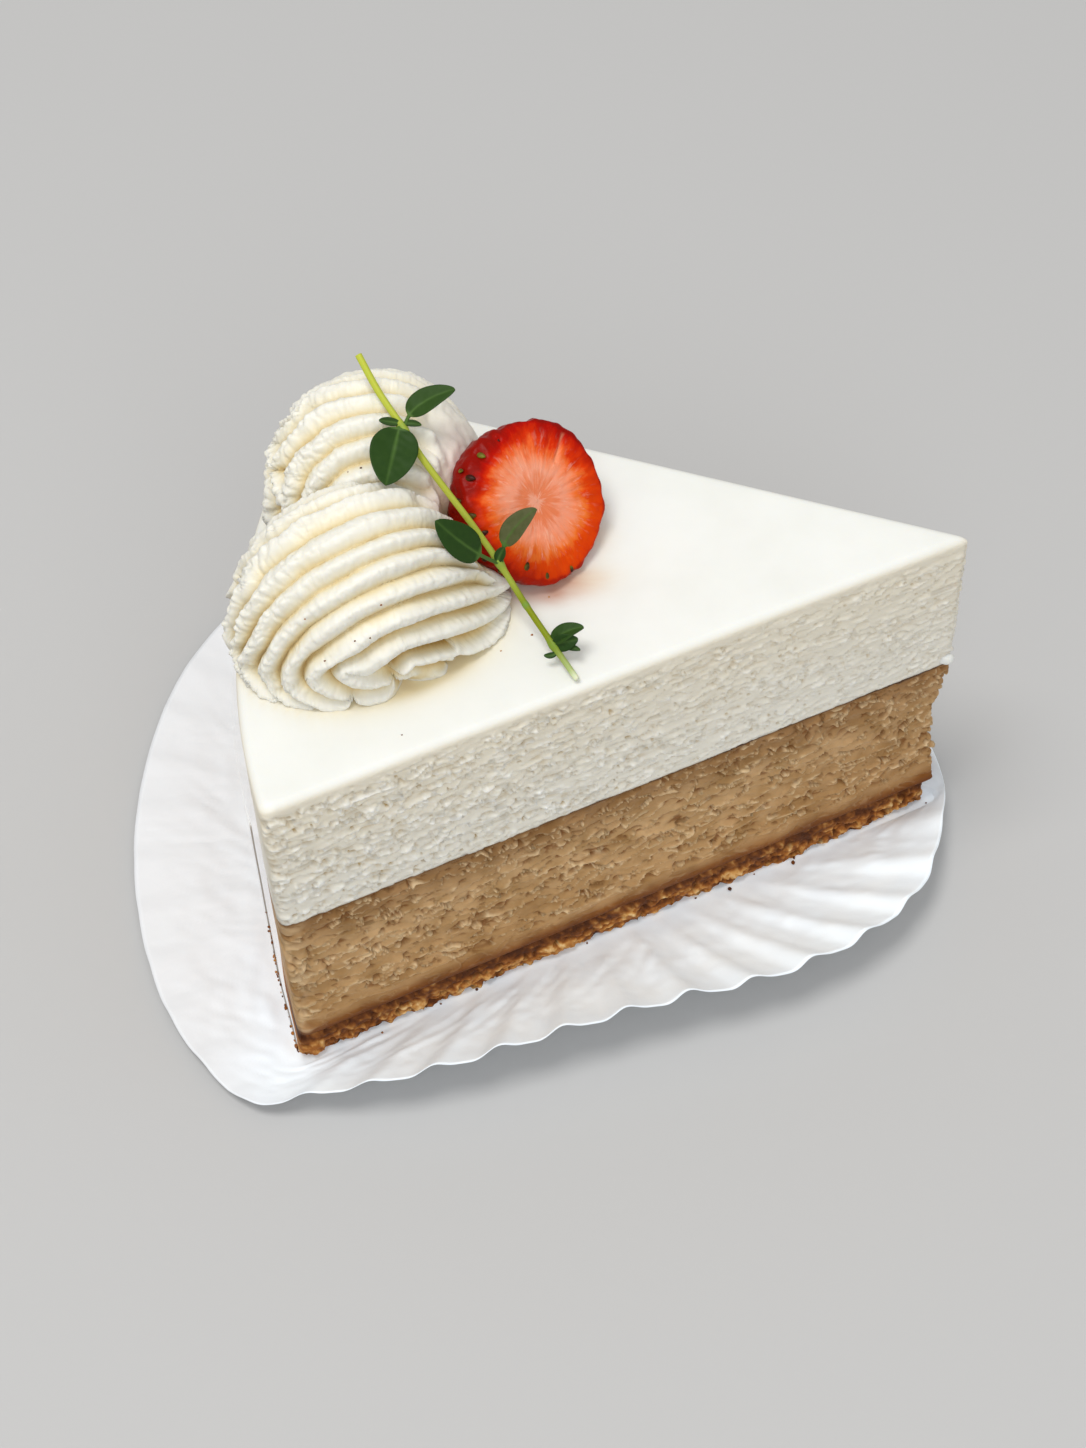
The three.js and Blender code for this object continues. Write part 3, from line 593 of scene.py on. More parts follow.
def biscuitMaterial():
    # Pressed biscuit crumb: matt, each crumb with its own toast, darkened by butter where it is packed, and
    # painted shade in the holes between crumbs
    material = newMaterial("biscuitCrumbPressed")
    place = addNode(material, "ShaderNodeTexCoord")
    toast = addNode(material, "ShaderNodeAttribute", {"attribute_name": "toast"})
    fine = addNode(material, "ShaderNodeTexNoise", None,
                   {"Scale": perMillimetre(0.6), "Detail": 4.0}, {"Vector": place.outputs["Object"]})
    blended = addNode(material, "ShaderNodeMath", {"operation": "MULTIPLY_ADD"}, {1: 0.35},
                      {0: fine.outputs["Fac"], 2: toast.outputs["Fac"]})
    crumb = addNode(material, "ShaderNodeValToRGB",
                    {"stops": [(0.15, "#47220a"), (0.38, "#743f13"), (0.58, "#9c5f26"), (0.75, "#c6904e"),
                               (0.95, "#e6c48c")]},
                    None, {"Fac": blended.outputs["Value"]})
    color = layTints(material, crumb.outputs["Color"], {"gap": "#4c260c"})
    return finishMaterial(material, {"Base Color": color},
                          {"Roughness": 0.6, "IOR": 1.45, "Specular IOR Level": 0.2},
                          fine.outputs["Fac"], (0.6, 0.3))


def buildBiscuit(material):
    look = biscuitLook
    low, high = biscuitLevels
    heights = np.linspace(low, high, round((high - low) / look["rowGrain"]) + 1)
    shareUp = ((heights - low) / (high - low))[:, None]
    places = cutPlaces(heights, look["slant"], look["stretch"])
    warp = noise(places, 1.6, 99)
    places = places + np.stack([warp * 0.4, warp * 0.5, warp * 0], axis=-1)
    lumps = noise(places, 1.7, 101, 2)
    fine = noise(places, 0.75, 113, 2)
    holes = patches(places, 1.3, 117, 0.25, 0.5, 2)
    relief = look["out"] + look["lump"] * lumps + look["fine"] * fine - look["hole"] * holes
    relief += look["wave"] * noise(places, 5, 127)
    packed = ease(shareUp + 0.25 * noise(places, 2.5, 129), 0.45, 0.75)  # the butter has soaked in here
    relief = relief * (1 - 0.5 * packed)
    along, up = np.meshgrid(fromTip, heights - low)
    chunk, chunkToast = np.zeros(relief.shape), np.zeros(relief.shape)
    for middle, height, wide, tall, baked in look["chunks"]:
        reach = np.hypot((along - middle) / wide, (up - height) / tall) + 0.3 * noise(places, 1.2, 133)
        chunk = np.maximum(chunk, ease(1.2 - reach, 0, 0.35) * (outline[:, 1] < 0))
        chunkToast = np.where(np.abs(along - middle) < 5, baked, chunkToast)
    relief += look["chunkOut"] * chunk
    relief -= 0.5 * ease(shareUp, 0.75, 1.0) + 0.3 * ease(1 - shareUp, 0.8, 1.0)
    relief *= 0.25 + 0.75 * onCut[None, :]
    wall = wallPoints([(h, 0.0) for h in heights], relief, np.full(relief.shape, look["tipSetback"]))
    raggedFoot = np.maximum(0, noise(places, 2.2, 131, 2))
    wall[..., 2] += ease(1 - shareUp, 0.6, 1.0) * 0.6 * raggedFoot
    points, faces = closeWall(wall)
    toast = 0.38 + 0.26 * lumps + 0.34 * fine + 0.3 * noise(places, 4, 139) - 0.2 * packed
    toast = toast * (1 - chunk) + chunk * (chunkToast + 0.2 * fine)
    # painted shade in the holes, and the butter's real darkening where the crumb is packed
    gap = np.clip(0.9 * holes * (1 - 0.6 * packed) + 0.45 * packed, 0, 1) * (1 - chunk) * 0.9
    values = {"toast": wallValues(np.clip(toast, 0, 1), len(points)), "gap": wallValues(gap, len(points))}
    addPiece("biscuitBase", points, faces, material, "biscuit", ["biscuit_base"], values)


# Cream shells: whipped cream from a star nozzle. Each is an egg with ridges that run in nested curves.
# crests are the ridges' top lines as the camera sees them, from the outermost inwards, in pixels of the
# frame. The last one of the front shell is the lip of the piped line.

frontShell = {
    "middle": np.array([-81.8, -8.6, 5.4]), "axisAngle": 14, "tilt": 50,
    "head": 13.2, "tail": 27.7, "half": 13.5, "up": 16.9, "pitch": 3.4,
    "depth": 2.2, "shallow": 1.6, "scallop": 0.34, "seed": 200, "lastIsLip": True, "runsRound": False,
    "crests": [
        [(232, 572), (238, 563), (246, 554), (252, 547), (256, 540), (264, 532), (272, 526), (282, 519),
         (293, 512), (305, 505), (320, 498), (340, 491), (365, 486), (395, 483), (420, 486)],
        [(226, 640), (225, 625), (228, 612), (231, 603), (235, 594), (241, 586), (244, 576), (247, 568),
         (251, 561), (264, 549), (283, 536), (300, 520), (315, 513), (330, 507), (350, 499), (375, 494),
         (400, 491), (425, 494), (440, 500)],
        [(250, 683), (234, 660), (230, 646), (233, 640), (235, 631), (238, 621), (243, 612), (250, 606),
         (256, 599), (262, 590), (271, 581), (281, 571), (292, 561), (305, 554), (320, 546), (335, 539),
         (350, 531), (370, 522), (385, 517), (400, 513), (420, 511), (437, 513), (452, 520)],
        [(277, 699), (256, 686), (243, 672), (238, 661), (242, 655), (248, 648), (254, 640), (259, 630),
         (264, 620), (272, 611), (285, 600), (297, 590), (309, 579), (325, 571), (340, 563), (358, 554),
         (375, 547), (390, 541), (405, 537), (420, 534), (435, 534), (455, 540), (468, 548)],
        [(312, 706), (302, 709), (290, 703), (277, 696), (267, 684), (261, 672), (266, 662), (270, 655),
         (275, 645), (282, 638), (290, 630), (300, 620), (315, 609), (332, 598), (350, 587), (365, 578),
         (380, 570), (400, 563), (420, 557), (437, 552), (452, 553), (466, 557), (480, 566)],
        [(352, 701), (342, 707), (327, 709), (315, 704), (303, 699), (292, 692), (286, 684), (285, 675),
         (289, 667), (296, 658), (303, 649), (312, 640), (325, 631), (340, 621), (358, 611), (380, 602),
         (400, 594), (420, 586), (440, 579), (460, 573), (474, 570), (486, 573), (493, 581)],
        [(396, 683), (389, 696), (375, 700), (360, 701), (345, 699), (332, 696), (321, 690), (313, 683),
         (311, 676), (316, 670), (328, 665), (340, 657), (355, 646), (368, 637), (382, 630), (400, 621),
         (420, 614), (440, 607), (460, 600), (480, 594), (494, 588), (503, 585)],
        [(437, 677), (431, 680), (424, 679), (417, 677), (410, 679), (401, 681), (388, 684), (372, 686),
         (357, 684), (347, 678), (343, 672), (352, 670), (366, 668), (378, 661), (392, 653), (408, 645),
         (430, 637), (450, 631), (470, 624), (487, 617), (501, 608), (515, 595)],
        [(404, 672), (412, 664), (425, 661), (440, 657), (455, 654), (470, 652), (480, 647), (490, 642),
         (497, 636), (503, 626), (510, 617), (519, 604)],
    ],
}
backShell = {
    "middle": np.array([-76.6, 10.8, 5.2]), "axisAngle": 18, "tilt": -4,
    "head": 15.5, "tail": 14.9, "half": 14.3, "up": 15.8, "pitch": 3.6,
    "depth": 2.1, "shallow": 1.6, "scallop": 0.4, "seed": 300, "lastIsLip": False, "runsRound": True,
    "crests": [
        [(280, 425), (291, 414), (300, 402), (310, 393), (322, 385), (335, 380), (350, 376), (370, 371),
         (390, 371), (410, 374), (430, 381), (450, 394), (466, 410), (480, 432)],
        [(269, 452), (271, 441), (276, 433), (283, 426), (291, 417), (298, 409), (303, 402), (312, 395),
         (325, 389), (340, 384), (356, 382), (376, 379), (396, 380), (412, 384), (430, 392), (446, 404),
         (458, 420), (467, 438), (472, 452)],
        [(268, 517), (265, 505), (266, 492), (267, 482), (269, 473), (272, 462), (277, 453), (283, 444),
         (290, 436), (298, 427), (308, 418), (320, 410), (334, 404), (350, 400), (370, 397), (392, 397),
         (414, 401), (432, 410), (446, 424), (456, 440), (462, 456)],
        [(282, 512), (284, 503), (284, 494), (286, 486), (288, 478), (289, 470), (293, 463), (299, 456),
         (308, 450), (317, 443), (325, 435), (336, 429), (350, 424), (368, 420), (388, 418), (408, 422),
         (425, 430), (440, 444), (450, 460)],
        [(307, 497), (310, 490), (314, 483), (318, 475), (325, 467), (332, 460), (342, 454), (354, 449),
         (370, 445), (390, 444), (408, 447), (424, 455), (438, 470)],
        [(332, 494), (341, 487), (351, 480), (363, 476), (378, 473), (395, 471), (412, 471), (428, 477)],
    ],
}
# How crests are followed and how the eggs are meshed
crest = {"lowest": 0.35, "farSteps": 30, "farStep": 1.5, "farFoot": 0.5, "sinks": 0.05, "grain": 0.25}
eggGrid = {"steps": 300, "cutterSteps": 60, "degreesDown": 58, "foot": -0.12}


def eggFrame(shell, points, back=False):  # into a shell's own axes, or back out of them
    if back:
        return turned(turned(points, "Y", shell["tilt"]), "Z", shell["axisAngle"])
    return turned(turned(points, "Z", -shell["axisAngle"]), "Y", -shell["tilt"])


def turned(points, axis, angle):
    return points @ np.array(Matrix.Rotation(math.radians(angle), 3, axis)).T


def eggAxes(shell, local):
    long = np.where(local[..., 0] < 0, shell["head"], shell["tail"])
    return np.stack([long, np.full_like(long, shell["half"]), np.full_like(long, shell["up"])], axis=-1)


def eggValue(shell, points):  # 1 on the smooth egg of a shell, less inside
    local = eggFrame(shell, points - shell["middle"])
    return np.linalg.norm(local / eggAxes(shell, local), axis=-1)


def eggNormal(shell, points):
    local = eggFrame(shell, points - shell["middle"])
    return unit(eggFrame(shell, local / eggAxes(shell, local) ** 2, back=True))


def eggMesh(shell, steps, grow=0.0):  # the smooth egg above its foot, with a flat underside
    across = np.linspace(-1, 1, steps)
    u, v = (side.ravel() for side in np.meshgrid(across, across, indexing="ij"))
    wide = np.abs(u) > np.abs(v)  # a square grid laid evenly on a disc, and the disc on a ball
    reach = np.where(wide, u, v)
    turn = math.pi / 4 * np.where(wide, v / np.where(u == 0, 1, u), u / np.where(v == 0, 1, v))
    turn = np.where(wide, turn, math.pi / 2 - turn)
    down = 2 * np.arcsin(np.abs(reach) * math.sin(math.radians(eggGrid["degreesDown"])))
    turn = turn + math.pi * (reach < 0)
    ways = np.stack([np.sin(down) * np.cos(turn), np.sin(down) * np.sin(turn), np.cos(down)], axis=-1)
    middle = shell["middle"]
    points = middle + ways / eggValue(shell, middle + ways)[:, None]
    points += grow * eggNormal(shell, points)
    faces = gridFaces(steps, steps, closed=False)
    ring = np.arange(steps * steps).reshape(steps, steps)
    loop = np.concatenate([ring[0], ring[1:, -1], ring[-1, -2::-1], ring[-2:0:-1, 0]])
    return np.vstack([points, [middle * (1, 1, 0)]]), faces + fanFaces(loop, len(points))


def viewRays(pixels):  # from the camera through pixels of the frame, in the slice's own frame
    forward, up = unit(studio["forward"]), unit(studio["up"])
    right = unit(np.cross(forward, up))
    pixels = np.array(pixels, float)
    across, down = ((pixels - studio["imageMiddle"]) / studio["focalPixels"]).T[..., None]
    return unit(forward + right * across - np.cross(right, forward) * down)


def castOnEgg(shell, pixels):  # where the camera sees pixels on the smooth egg, or nearest it
    rays = viewRays(pixels)
    start = studio["camera"] - np.array([0, 0, sliceTop])
    steps = np.linspace(*studio["eggDistances"])
    values = eggValue(shell, start + rays[:, None] * steps[None, :, None])
    within = values < 1
    hit = np.where(within.any(axis=1), within.argmax(axis=1), values.argmin(axis=1))
    points = onEgg(shell, start + rays * steps[hit][:, None])
    points[:, 2] = np.maximum(points[:, 2], crest["lowest"])
    return points


def onEgg(shell, points):  # moved straight out or in, onto the smooth egg
    return shell["middle"] + (points - shell["middle"]) / eggValue(shell, points)[:, None]


def farSide(shell, knots):  # carries a crest on round the side that the camera can't see, down to the foot
    point, way = knots[0], unit(knots[0] - knots[1])
    found = []
    for _ in range(crest["farSteps"]):
        normal = eggNormal(shell, point[None])[0]
        way = unit(way - (way @ normal) * normal - np.array([0, 0, crest["sinks"]]))
        point = onEgg(shell, (point + way * crest["farStep"])[None])[0]
        if point[2] < crest["farFoot"]:
            break
        found.insert(0, point)
    return np.array([*found, *knots])


def crestCurves(shell):
    curves = []
    for pixels in shell["crests"]:
        knots = castOnEgg(shell, pixels)
        if shell["runsRound"]:
            knots = farSide(shell, knots)
        ends = withEnds(knots)
        rough = catmullRom(ends, 4)
        length = np.linalg.norm(np.diff(rough, axis=0), axis=1).sum()
        curves.append(catmullRom(ends, round(length / crest["grain"])))
    return curves


def nearestOn(curve, points):  # distance to a curve and how far along it
    squares = (points ** 2).sum(axis=1)[:, None] + (curve ** 2).sum(axis=1) - 2 * points @ curve.T
    nearest = squares.argmin(axis=1)
    return np.sqrt(np.maximum(squares[np.arange(len(points)), nearest], 0)), nearest


# Where points lie among the ridges: the share of the way from one crest to the next, the nearest crest's
# number and the place along it, how far the point is downhill of that crest, and how far it is inside the lip
def ridgeField(shell, points):
    curves = crestCurves(shell)
    found = [nearestOn(curve, points) for curve in curves]
    distance = np.stack([d for d, _ in found])
    nearest = np.stack([n for _, n in found])
    count = len(curves)
    rows = np.arange(len(points))
    best = distance.argmin(axis=0)
    outer, inner = np.maximum(best - 1, 0), np.minimum(best + 1, count - 1)
    dOuter, dInner = distance[outer, rows], distance[inner, rows]
    towards = np.where((best == 0) | ((best < count - 1) & (dInner < dOuter)), inner, outer)
    mine, other = distance[best, rows], distance[towards, rows]
    share = mine / np.maximum(mine + other, 1e-6)
    number = best.astype(float)
    under = np.zeros(len(points))
    gap = np.stack([nearestOn(curves[1], curves[0])[0].mean(), nearestOn(curves[-2], curves[-1])[0].mean()])
    for edge, nextOne, spacing, sign in ((0, 1, gap[0], -1), (count - 1, count - 2, gap[1], 1)):
        beyond = (best == edge) & (distance[nextOne] > np.maximum(spacing * 0.8, distance[edge]) + 0.3)
        beyond &= distance[nextOne] ** 2 > distance[edge] ** 2 + (0.6 * spacing) ** 2
        if sign > 0 and shell["lastIsLip"]:  # told by the side of the lip that a point is on
            lip, inward = curves[edge], curves[nextOne]
            inward = inward[nearestOn(inward, lip)[1]] - lip
            out = ((points - lip[nearest[edge]]) * unit(inward)[nearest[edge]]).sum(axis=1)
            beyond = (best == edge) & (out < 0)
        steps = distance[edge] / shell["pitch"]
        share = np.where(beyond, np.abs(steps - np.round(steps)), share)
        number = np.where(beyond, edge + sign * np.round(steps), number)
        if sign > 0 and shell["lastIsLip"]:  # nothing is piped inside the lip: the egg draws back under it
            under = np.where(beyond, ease(distance[edge], 0.1, 1.3), 0)
            share = np.where(beyond, np.minimum(0.5, steps), share)
            number = np.where(beyond, edge, number)
    crestPoint = np.zeros_like(points)
    for k, curve in enumerate(curves):
        own = best == k
        crestPoint[own] = curve[nearest[k][own]]
    along = nearest[best, rows] * crest["grain"]
    downhill = (points - crestPoint) @ unit([0.1, -0.62, -0.78])
    return share, number, along, downhill, under


# Heights of the ridges' own unevenness, and the lengths along a ridge that it repeats over
ridge = {"lumps": 1.7, "lumpLength": 1.2, "fine": 0.08, "fineLength": 0.55, "sway": 0.3, "swayLength": 7,
         "rough": 0.08, "uneven": 0.2, "footOut": 0.5, "lipBack": 3.0, "lipOut": 0.15, "lipWave": 0.32,
         "lipWaveLength": 2.4}


def ridgeRelief(shell, points):  # how far each point of the smooth egg moves in or out
    normals = eggNormal(shell, points)
    share, number, along, downhill, under = ridgeField(shell, points)
    t = np.clip(share * 2, 0, 1)
    low = 1 - ease(normals[:, 2], 0.2, 0.7)  # on the steep sides the crests hang over a little
    below = ease(downhill, -0.2, 0.3)
    power = 1.6 + low * (1.2 * below - 0.3 * (1 - below))
    height = (1 - t ** power) ** 0.95
    depth = shell["shallow"] + (shell["depth"] - shell["shallow"]) * low
    headEnd = ease(shell["middle"][0] - points[:, 0], 1, 12)
    foot = 1 - ease(points[:, 2], 0, 3.0)
    beat = np.column_stack([along / ridge["lumpLength"], number * 5.3,
                            share * 2.5 * np.where(below > 0.5, 1, -1)])
    fine = np.column_stack([along / ridge["fineLength"], number * 3.1 + 50, share * 1.4])
    sway = np.column_stack([along / ridge["swayLength"], number * 2.3, number * 0])
    lumps = ridge["lumps"] * np.abs(noise(beat, 1.0, shell["seed"])) - 0.45  # rounded, with creases between
    relief = 0.2 - depth * (1 - height) * (1 - 0.35 * foot)
    relief += shell["scallop"] * lumps * (0.35 + 0.65 * height) * (0.4 + 1.0 * headEnd) * (1 - 0.5 * foot)
    relief += ridge["fine"] * noise(fine, 1.0, shell["seed"] + 5, 2)
    relief += ridge["sway"] * noise(sway, 1.0, shell["seed"] + 9)
    relief += (ridge["rough"] * noise(points, 1.1, shell["seed"] + 17, 2)
               + ridge["uneven"] * noise(points, 6, shell["seed"] + 19))
    relief += ridge["footOut"] * foot * height - ridge["lipBack"] * under
    if shell["lastIsLip"]:
        thin = (number > len(shell["crests"]) - 1.5) * height  # the lip is a thin wavy sheet
        ripple = noise(np.column_stack([along / ridge["lipWaveLength"], along * 0, along * 0]), 1.0, 211, 2)
        relief += thin * (ridge["lipOut"] + ridge["lipWave"] * ripple)
    return relief, normals


def buildShell(name, node, shell, material, cutters, torn):
    points, faces = eggMesh(shell, eggGrid["steps"])
    relief, normals = ridgeRelief(shell, points)
    points = points + normals * torn(points, relief)[:, None]
    points[:, 2] = np.maximum(points[:, 2], eggGrid["foot"]) + sliceTop
    piece = addPiece(name, points, faces, material, "cream", [node])
    for cutter in cutters:
        subtract(piece, cutter)
    markCream(piece, shell)


def subtract(piece, cutter):
    material = piece.data.materials[0]
    modifier = piece.modifiers.new("pressed", "BOOLEAN")
    modifier.operation = "DIFFERENCE"
    modifier.solver = "MANIFOLD"
    modifier.object = cutter
    bpy.context.view_layer.update()
    graph = bpy.context.evaluated_depsgraph_get()
    mesh = bpy.data.meshes.new_from_object(piece.evaluated_get(graph))
    piece.modifiers.clear()
    piece.data = mesh
    mesh.polygons.foreach_set("material_index", [0] * len(mesh.polygons))
    finishMesh(mesh, material)


def markCream(piece, shell):  # how deep in a valley each point is, and where juice has tinted the cream
    points = readPoints(piece) - (0, 0, sliceTop)
    away = np.linalg.norm(points - shell["middle"], axis=1)
    depth = away / np.maximum(eggValue(shell, points), 0.2) - away
    valley = np.clip(depth / shell["depth"], 0, 1) * ease(points[:, 2], 0.2, 0.8)
    if shell is backShell:  # its torn side is white inside
        valley *= 1 - 0.9 * np.minimum(1, spotted(points, tornColor))
    storeValues(piece.data, {"valley": valley, "stainAndShade": spotted(points, creamJuice)})


def creamMaterial():
    # Whipped cream: fat and air, white on the crests and softly satin; the valleys are painted a darker
    # buttery yellow as shade
    material = newMaterial("whippedCreamPiped")
    place = addNode(material, "ShaderNodeTexCoord")
    valley = addNode(material, "ShaderNodeAttribute", {"attribute_name": "valley"})
    # painted shade: deeper in a valley, darker and more buttery
    tone = addNode(material, "ShaderNodeValToRGB",
                   {"stops": [(0.0, "#e2dfd4"), (0.28, "#e1dac4"), (0.58, "#dccba0"), (1.0, "#c5a25a")]},
                   None, {"Fac": valley.outputs["Fac"]})
    color = layTints(material, tone.outputs["Color"], {"stainAndShade": "#f2cfc6"})
    grain = addNode(material, "ShaderNodeTexNoise", None,
                    {"Scale": perMillimetre(0.7), "Detail": 4.0}, {"Vector": place.outputs["Object"]})
    return finishMaterial(material, {"Base Color": color},
                          {"Roughness": 0.4, "IOR": 1.4, "Subsurface Weight": 0.22, "Subsurface Scale": 0.001,
                           "Subsurface Radius": (1.0, 0.85, 0.6)},
                          grain.outputs["Fac"], (0.2, 0.2))


# Spots on the cream: place, reach, and strength or how far it stands out. The flap's are pixels of the frame.
creamJuice = [((-67.2, 0.2, 12.8), (3.6, 3.6, 4), 0.5), ((-66.0, 7.5, 14), (3.5, 4.5, 4), 0.35)]
tornColor = [((-64.8, 11, 14), (7, 9, 9), 1.6)]
tornShape = [((-64.8, 11, 14), (6, 8.5, 8), 1.6)]
hollowSpots = [((-68.6, 10.0, 18.3), (2.4, 3.2, 2.6), -1.1), ((-69.3, 7.2, 18.0), (1.5, 1.2, 1.5), 1.5),
               ((-68.6, 4.6, 16.4), (1.4, 1.6, 1.5), 1.1)]
flapSpots = [((498, 579), (2.6, 2.6, 2.6), 1.5), ((421, 693), (4.5, 2.2, 2.4), -1.7)]


def tornHollow(surface, relief):  # the back shell's right side was torn by the berry and is smooth inside
    torn = np.minimum(1, spotted(surface, tornShape))
    relief = relief * (1 - torn) - torn + spotted(surface, hollowSpots)
    smears = 0.3 * noise(surface, 3.2, 317, 2) + 0.12 * noise(surface * (1, 0.5, 0.5), 1.1, 319)
    return relief + torn * smears


def tornFlap(surface, relief):  # the piped line ends in a short torn flap, and its ridges run up to the berry
    return relief + spotted(surface, [(castOnEgg(frontShell, [pixel])[0], reach, out)
                                      for pixel, reach, out in flapSpots])


# Strawberry: a half cut across, the face up and leaning on the cream

berry = {"middle": np.array([-56.3, 2.7, 9.3]), "faces": (0.53, -0.5, 0.67), "radius": 10.6, "depth": 12.0,
         "faceRound": 0.7, "skinShows": 2.9, "roll": 0.62, "skinTurn": 112, "lobes": 0.2, "around": 240,
         "faceRings": 60, "domeRings": 44, "bendRings": 16, "seeds": 60, "seedSize": (0.5, 0.31, 0.2),
         "seedSunk": 0.22, "seedDimple": 0.4, "dimpleReach": 0.62, "ripeWay": (-0.35, 0.75, 0.55),
         "crack": np.array([(-5.2, -8.3), (-2.8, -5.4)]), "crackDeep": 0.3, "crackHalf": 0.22,
         "fibreHeight": 0.12, "faceRough": 0.1, "coreDip": 0.15, "coreHalf": 4}
# Seeds that the camera sees on the skin by the face: distance from the face's middle, turn and length
nearSeeds = [(9.7, 158, 1.3), (11.0, 142, 0.95), (9.9, 138, 1.5), (10.9, 121, 1.2), (9.8, 109, 1.35),
             (9.0, 93, 1.1), (8.7, 43, 1.2), (10.2, 1, 1.0), (9.4, 177, 0.5), (10.5, 75, 1.2),
             (10.4, 60, 1.2), (9.9, 24, 1.1)]


def berryAxes():
    facing = unit(berry["faces"])
    return np.array(Vector((0, 1, 0)).rotation_difference(Vector(facing)).to_matrix())


def berryPlaced(local):
    return local @ berryAxes().T + berry["middle"]


def skinSide(turns):  # 1 where the face rolls over into the skin, 0 where the knife left a sharp edge
    return ease(np.cos(np.radians(np.degrees(turns) - berry["skinTurn"])), -0.15, 0.75)


def softAt(turns):
    return berry["faceRound"] + berry["skinShows"] * skinSide(turns)


def berrySurface(grow, around, faceRings, domeRings, relief=None):  # points and faces in the berry's own axes
    radius, depth = berry["radius"] + grow, berry["depth"] + grow
    turns = np.arange(around) * 2 * math.pi / around
    soft = softAt(turns)
    low = berry["roll"] * soft
    flatShares = np.linspace(0, 1, faceRings + 1)[1:]
    bendAngles = np.radians(np.linspace(0, 90, berry["bendRings"] + 1))[1:]
    domeAngles = np.radians(np.linspace(0, 90, domeRings + 1))[1:-1]
    rings = [((radius - soft) * share, soft * 0 + grow) for share in flatShares]
    rings += [(radius - soft + soft * math.sin(a), grow - berry["roll"] * (soft + grow) * (1 - math.cos(a)))
              for a in bendAngles]
    rings += [(radius * math.cos(a) + soft * 0, -low - (depth - low) * math.sin(a)) for a in domeAngles]
    reach, level = (np.stack(part) for part in zip(*rings))
    circle = np.stack([np.cos(turns) * berry["radius"], turns * 0, np.sin(turns) * berry["radius"]], axis=-1)
    uneven = 1 + berry["lobes"] / berry["radius"] * (np.sin(3 * turns + 0.6) + 0.6 * np.sin(5 * turns))
    uneven += (0.26 * noise(circle, 3.4, 431) + 0.24 * noise(circle, 1.4, 433)) / berry["radius"]
    local = np.stack([reach * np.cos(turns) * uneven, level, reach * np.sin(turns) * uneven], axis=-1)
    if relief:
        local = relief(local, level, turns)
    points = np.vstack([local.reshape(-1, 3), [[0, grow, 0], [0, -depth, 0]]])
    return points, closedFaces(len(rings), around)


def seedPlaces():  # the seeds' middles, the ways out of the skin there and their lengths
    found = []
    for distance, degrees, length in nearSeeds:
        turn = math.radians(degrees)
        soft = float(softAt(turn))
        bend = math.asin(min(0.995, max(0, (distance - berry["radius"] + soft) / soft)))
        out = (math.sin(bend) * math.cos(turn), math.cos(bend), math.sin(bend) * math.sin(turn))
        level = -berry["roll"] * soft * (1 - math.cos(bend))
        middle = np.array([distance * math.cos(turn), level, distance * math.sin(turn)])
        found.append((middle, unit(out), length))
    for k in range(berry["seeds"]):  # on the rest of the skin they sit a golden angle apart
        down = math.radians(16 + 66 * (k + 0.5) / berry["seeds"])
        turn = math.radians(k * 137.508)
        reach = berry["radius"] * math.cos(down)
        low = berry["roll"] * float(softAt(turn))
        level = -low - (berry["depth"] - low) * math.sin(down)
        middle = np.array([reach * math.cos(turn), level, reach * math.sin(turn)])
        found.append((middle, unit(middle + (0, 4.0, 0)), 1.2))
    return found


def berryRelief(local, level, turns):  # fibres and a soft dip on the face, dimples round the seeds
    radius = np.hypot(local[..., 0], local[..., 2])
    onFace = ease(level, -0.5, -0.05) * (1 - skinSide(turns)[None] * ease(radius, 8.0, 9.6))
    spokes = np.stack([np.cos(turns) * 9, np.sin(turns) * 9, turns * 0], axis=-1)
    fibre = noise(np.broadcast_to(spokes, local.shape) + radius[..., None] * 0.02, 1.0, 401, 2)
    face = berry["fibreHeight"] * fibre * ease(radius, 2.5, 6.5)
    face += berry["faceRough"] * noise(local, 1.9, 409, 2)
    face -= berry["coreDip"] * ease(berry["coreHalf"] - radius, 0, berry["coreHalf"])
    local[..., 1] += onFace * face * ease(10.2 - radius, 0, 1.2)
    outward = unit(local + np.array([0, 4.0, 0]))
    rough = 0.16 * noise(local, 2.2, 419, 2) + 0.12 * noise(local, 0.9, 421)
    local += outward * ((1 - onFace) * rough)[..., None]
    for middle, _, length in seedPlaces():
        dimple = near(local, middle, (berry["dimpleReach"] * length,) * 3)
        local -= outward * (berry["seedDimple"] * dimple)[..., None]
    local[..., 1] -= berry["crackDeep"] * np.exp(-(crackAt(local) / berry["crackHalf"]) ** 2) * onFace
    return local


def crackAt(local):  # distance from a crack that runs in from the face's edge
    start, end = berry["crack"]
    way = end - start
    share = np.clip((local[..., ::2] - start) @ way / np.sum(way ** 2), 0, 1)
    return np.linalg.norm(local[..., ::2] - start - share[..., None] * way, axis=-1)


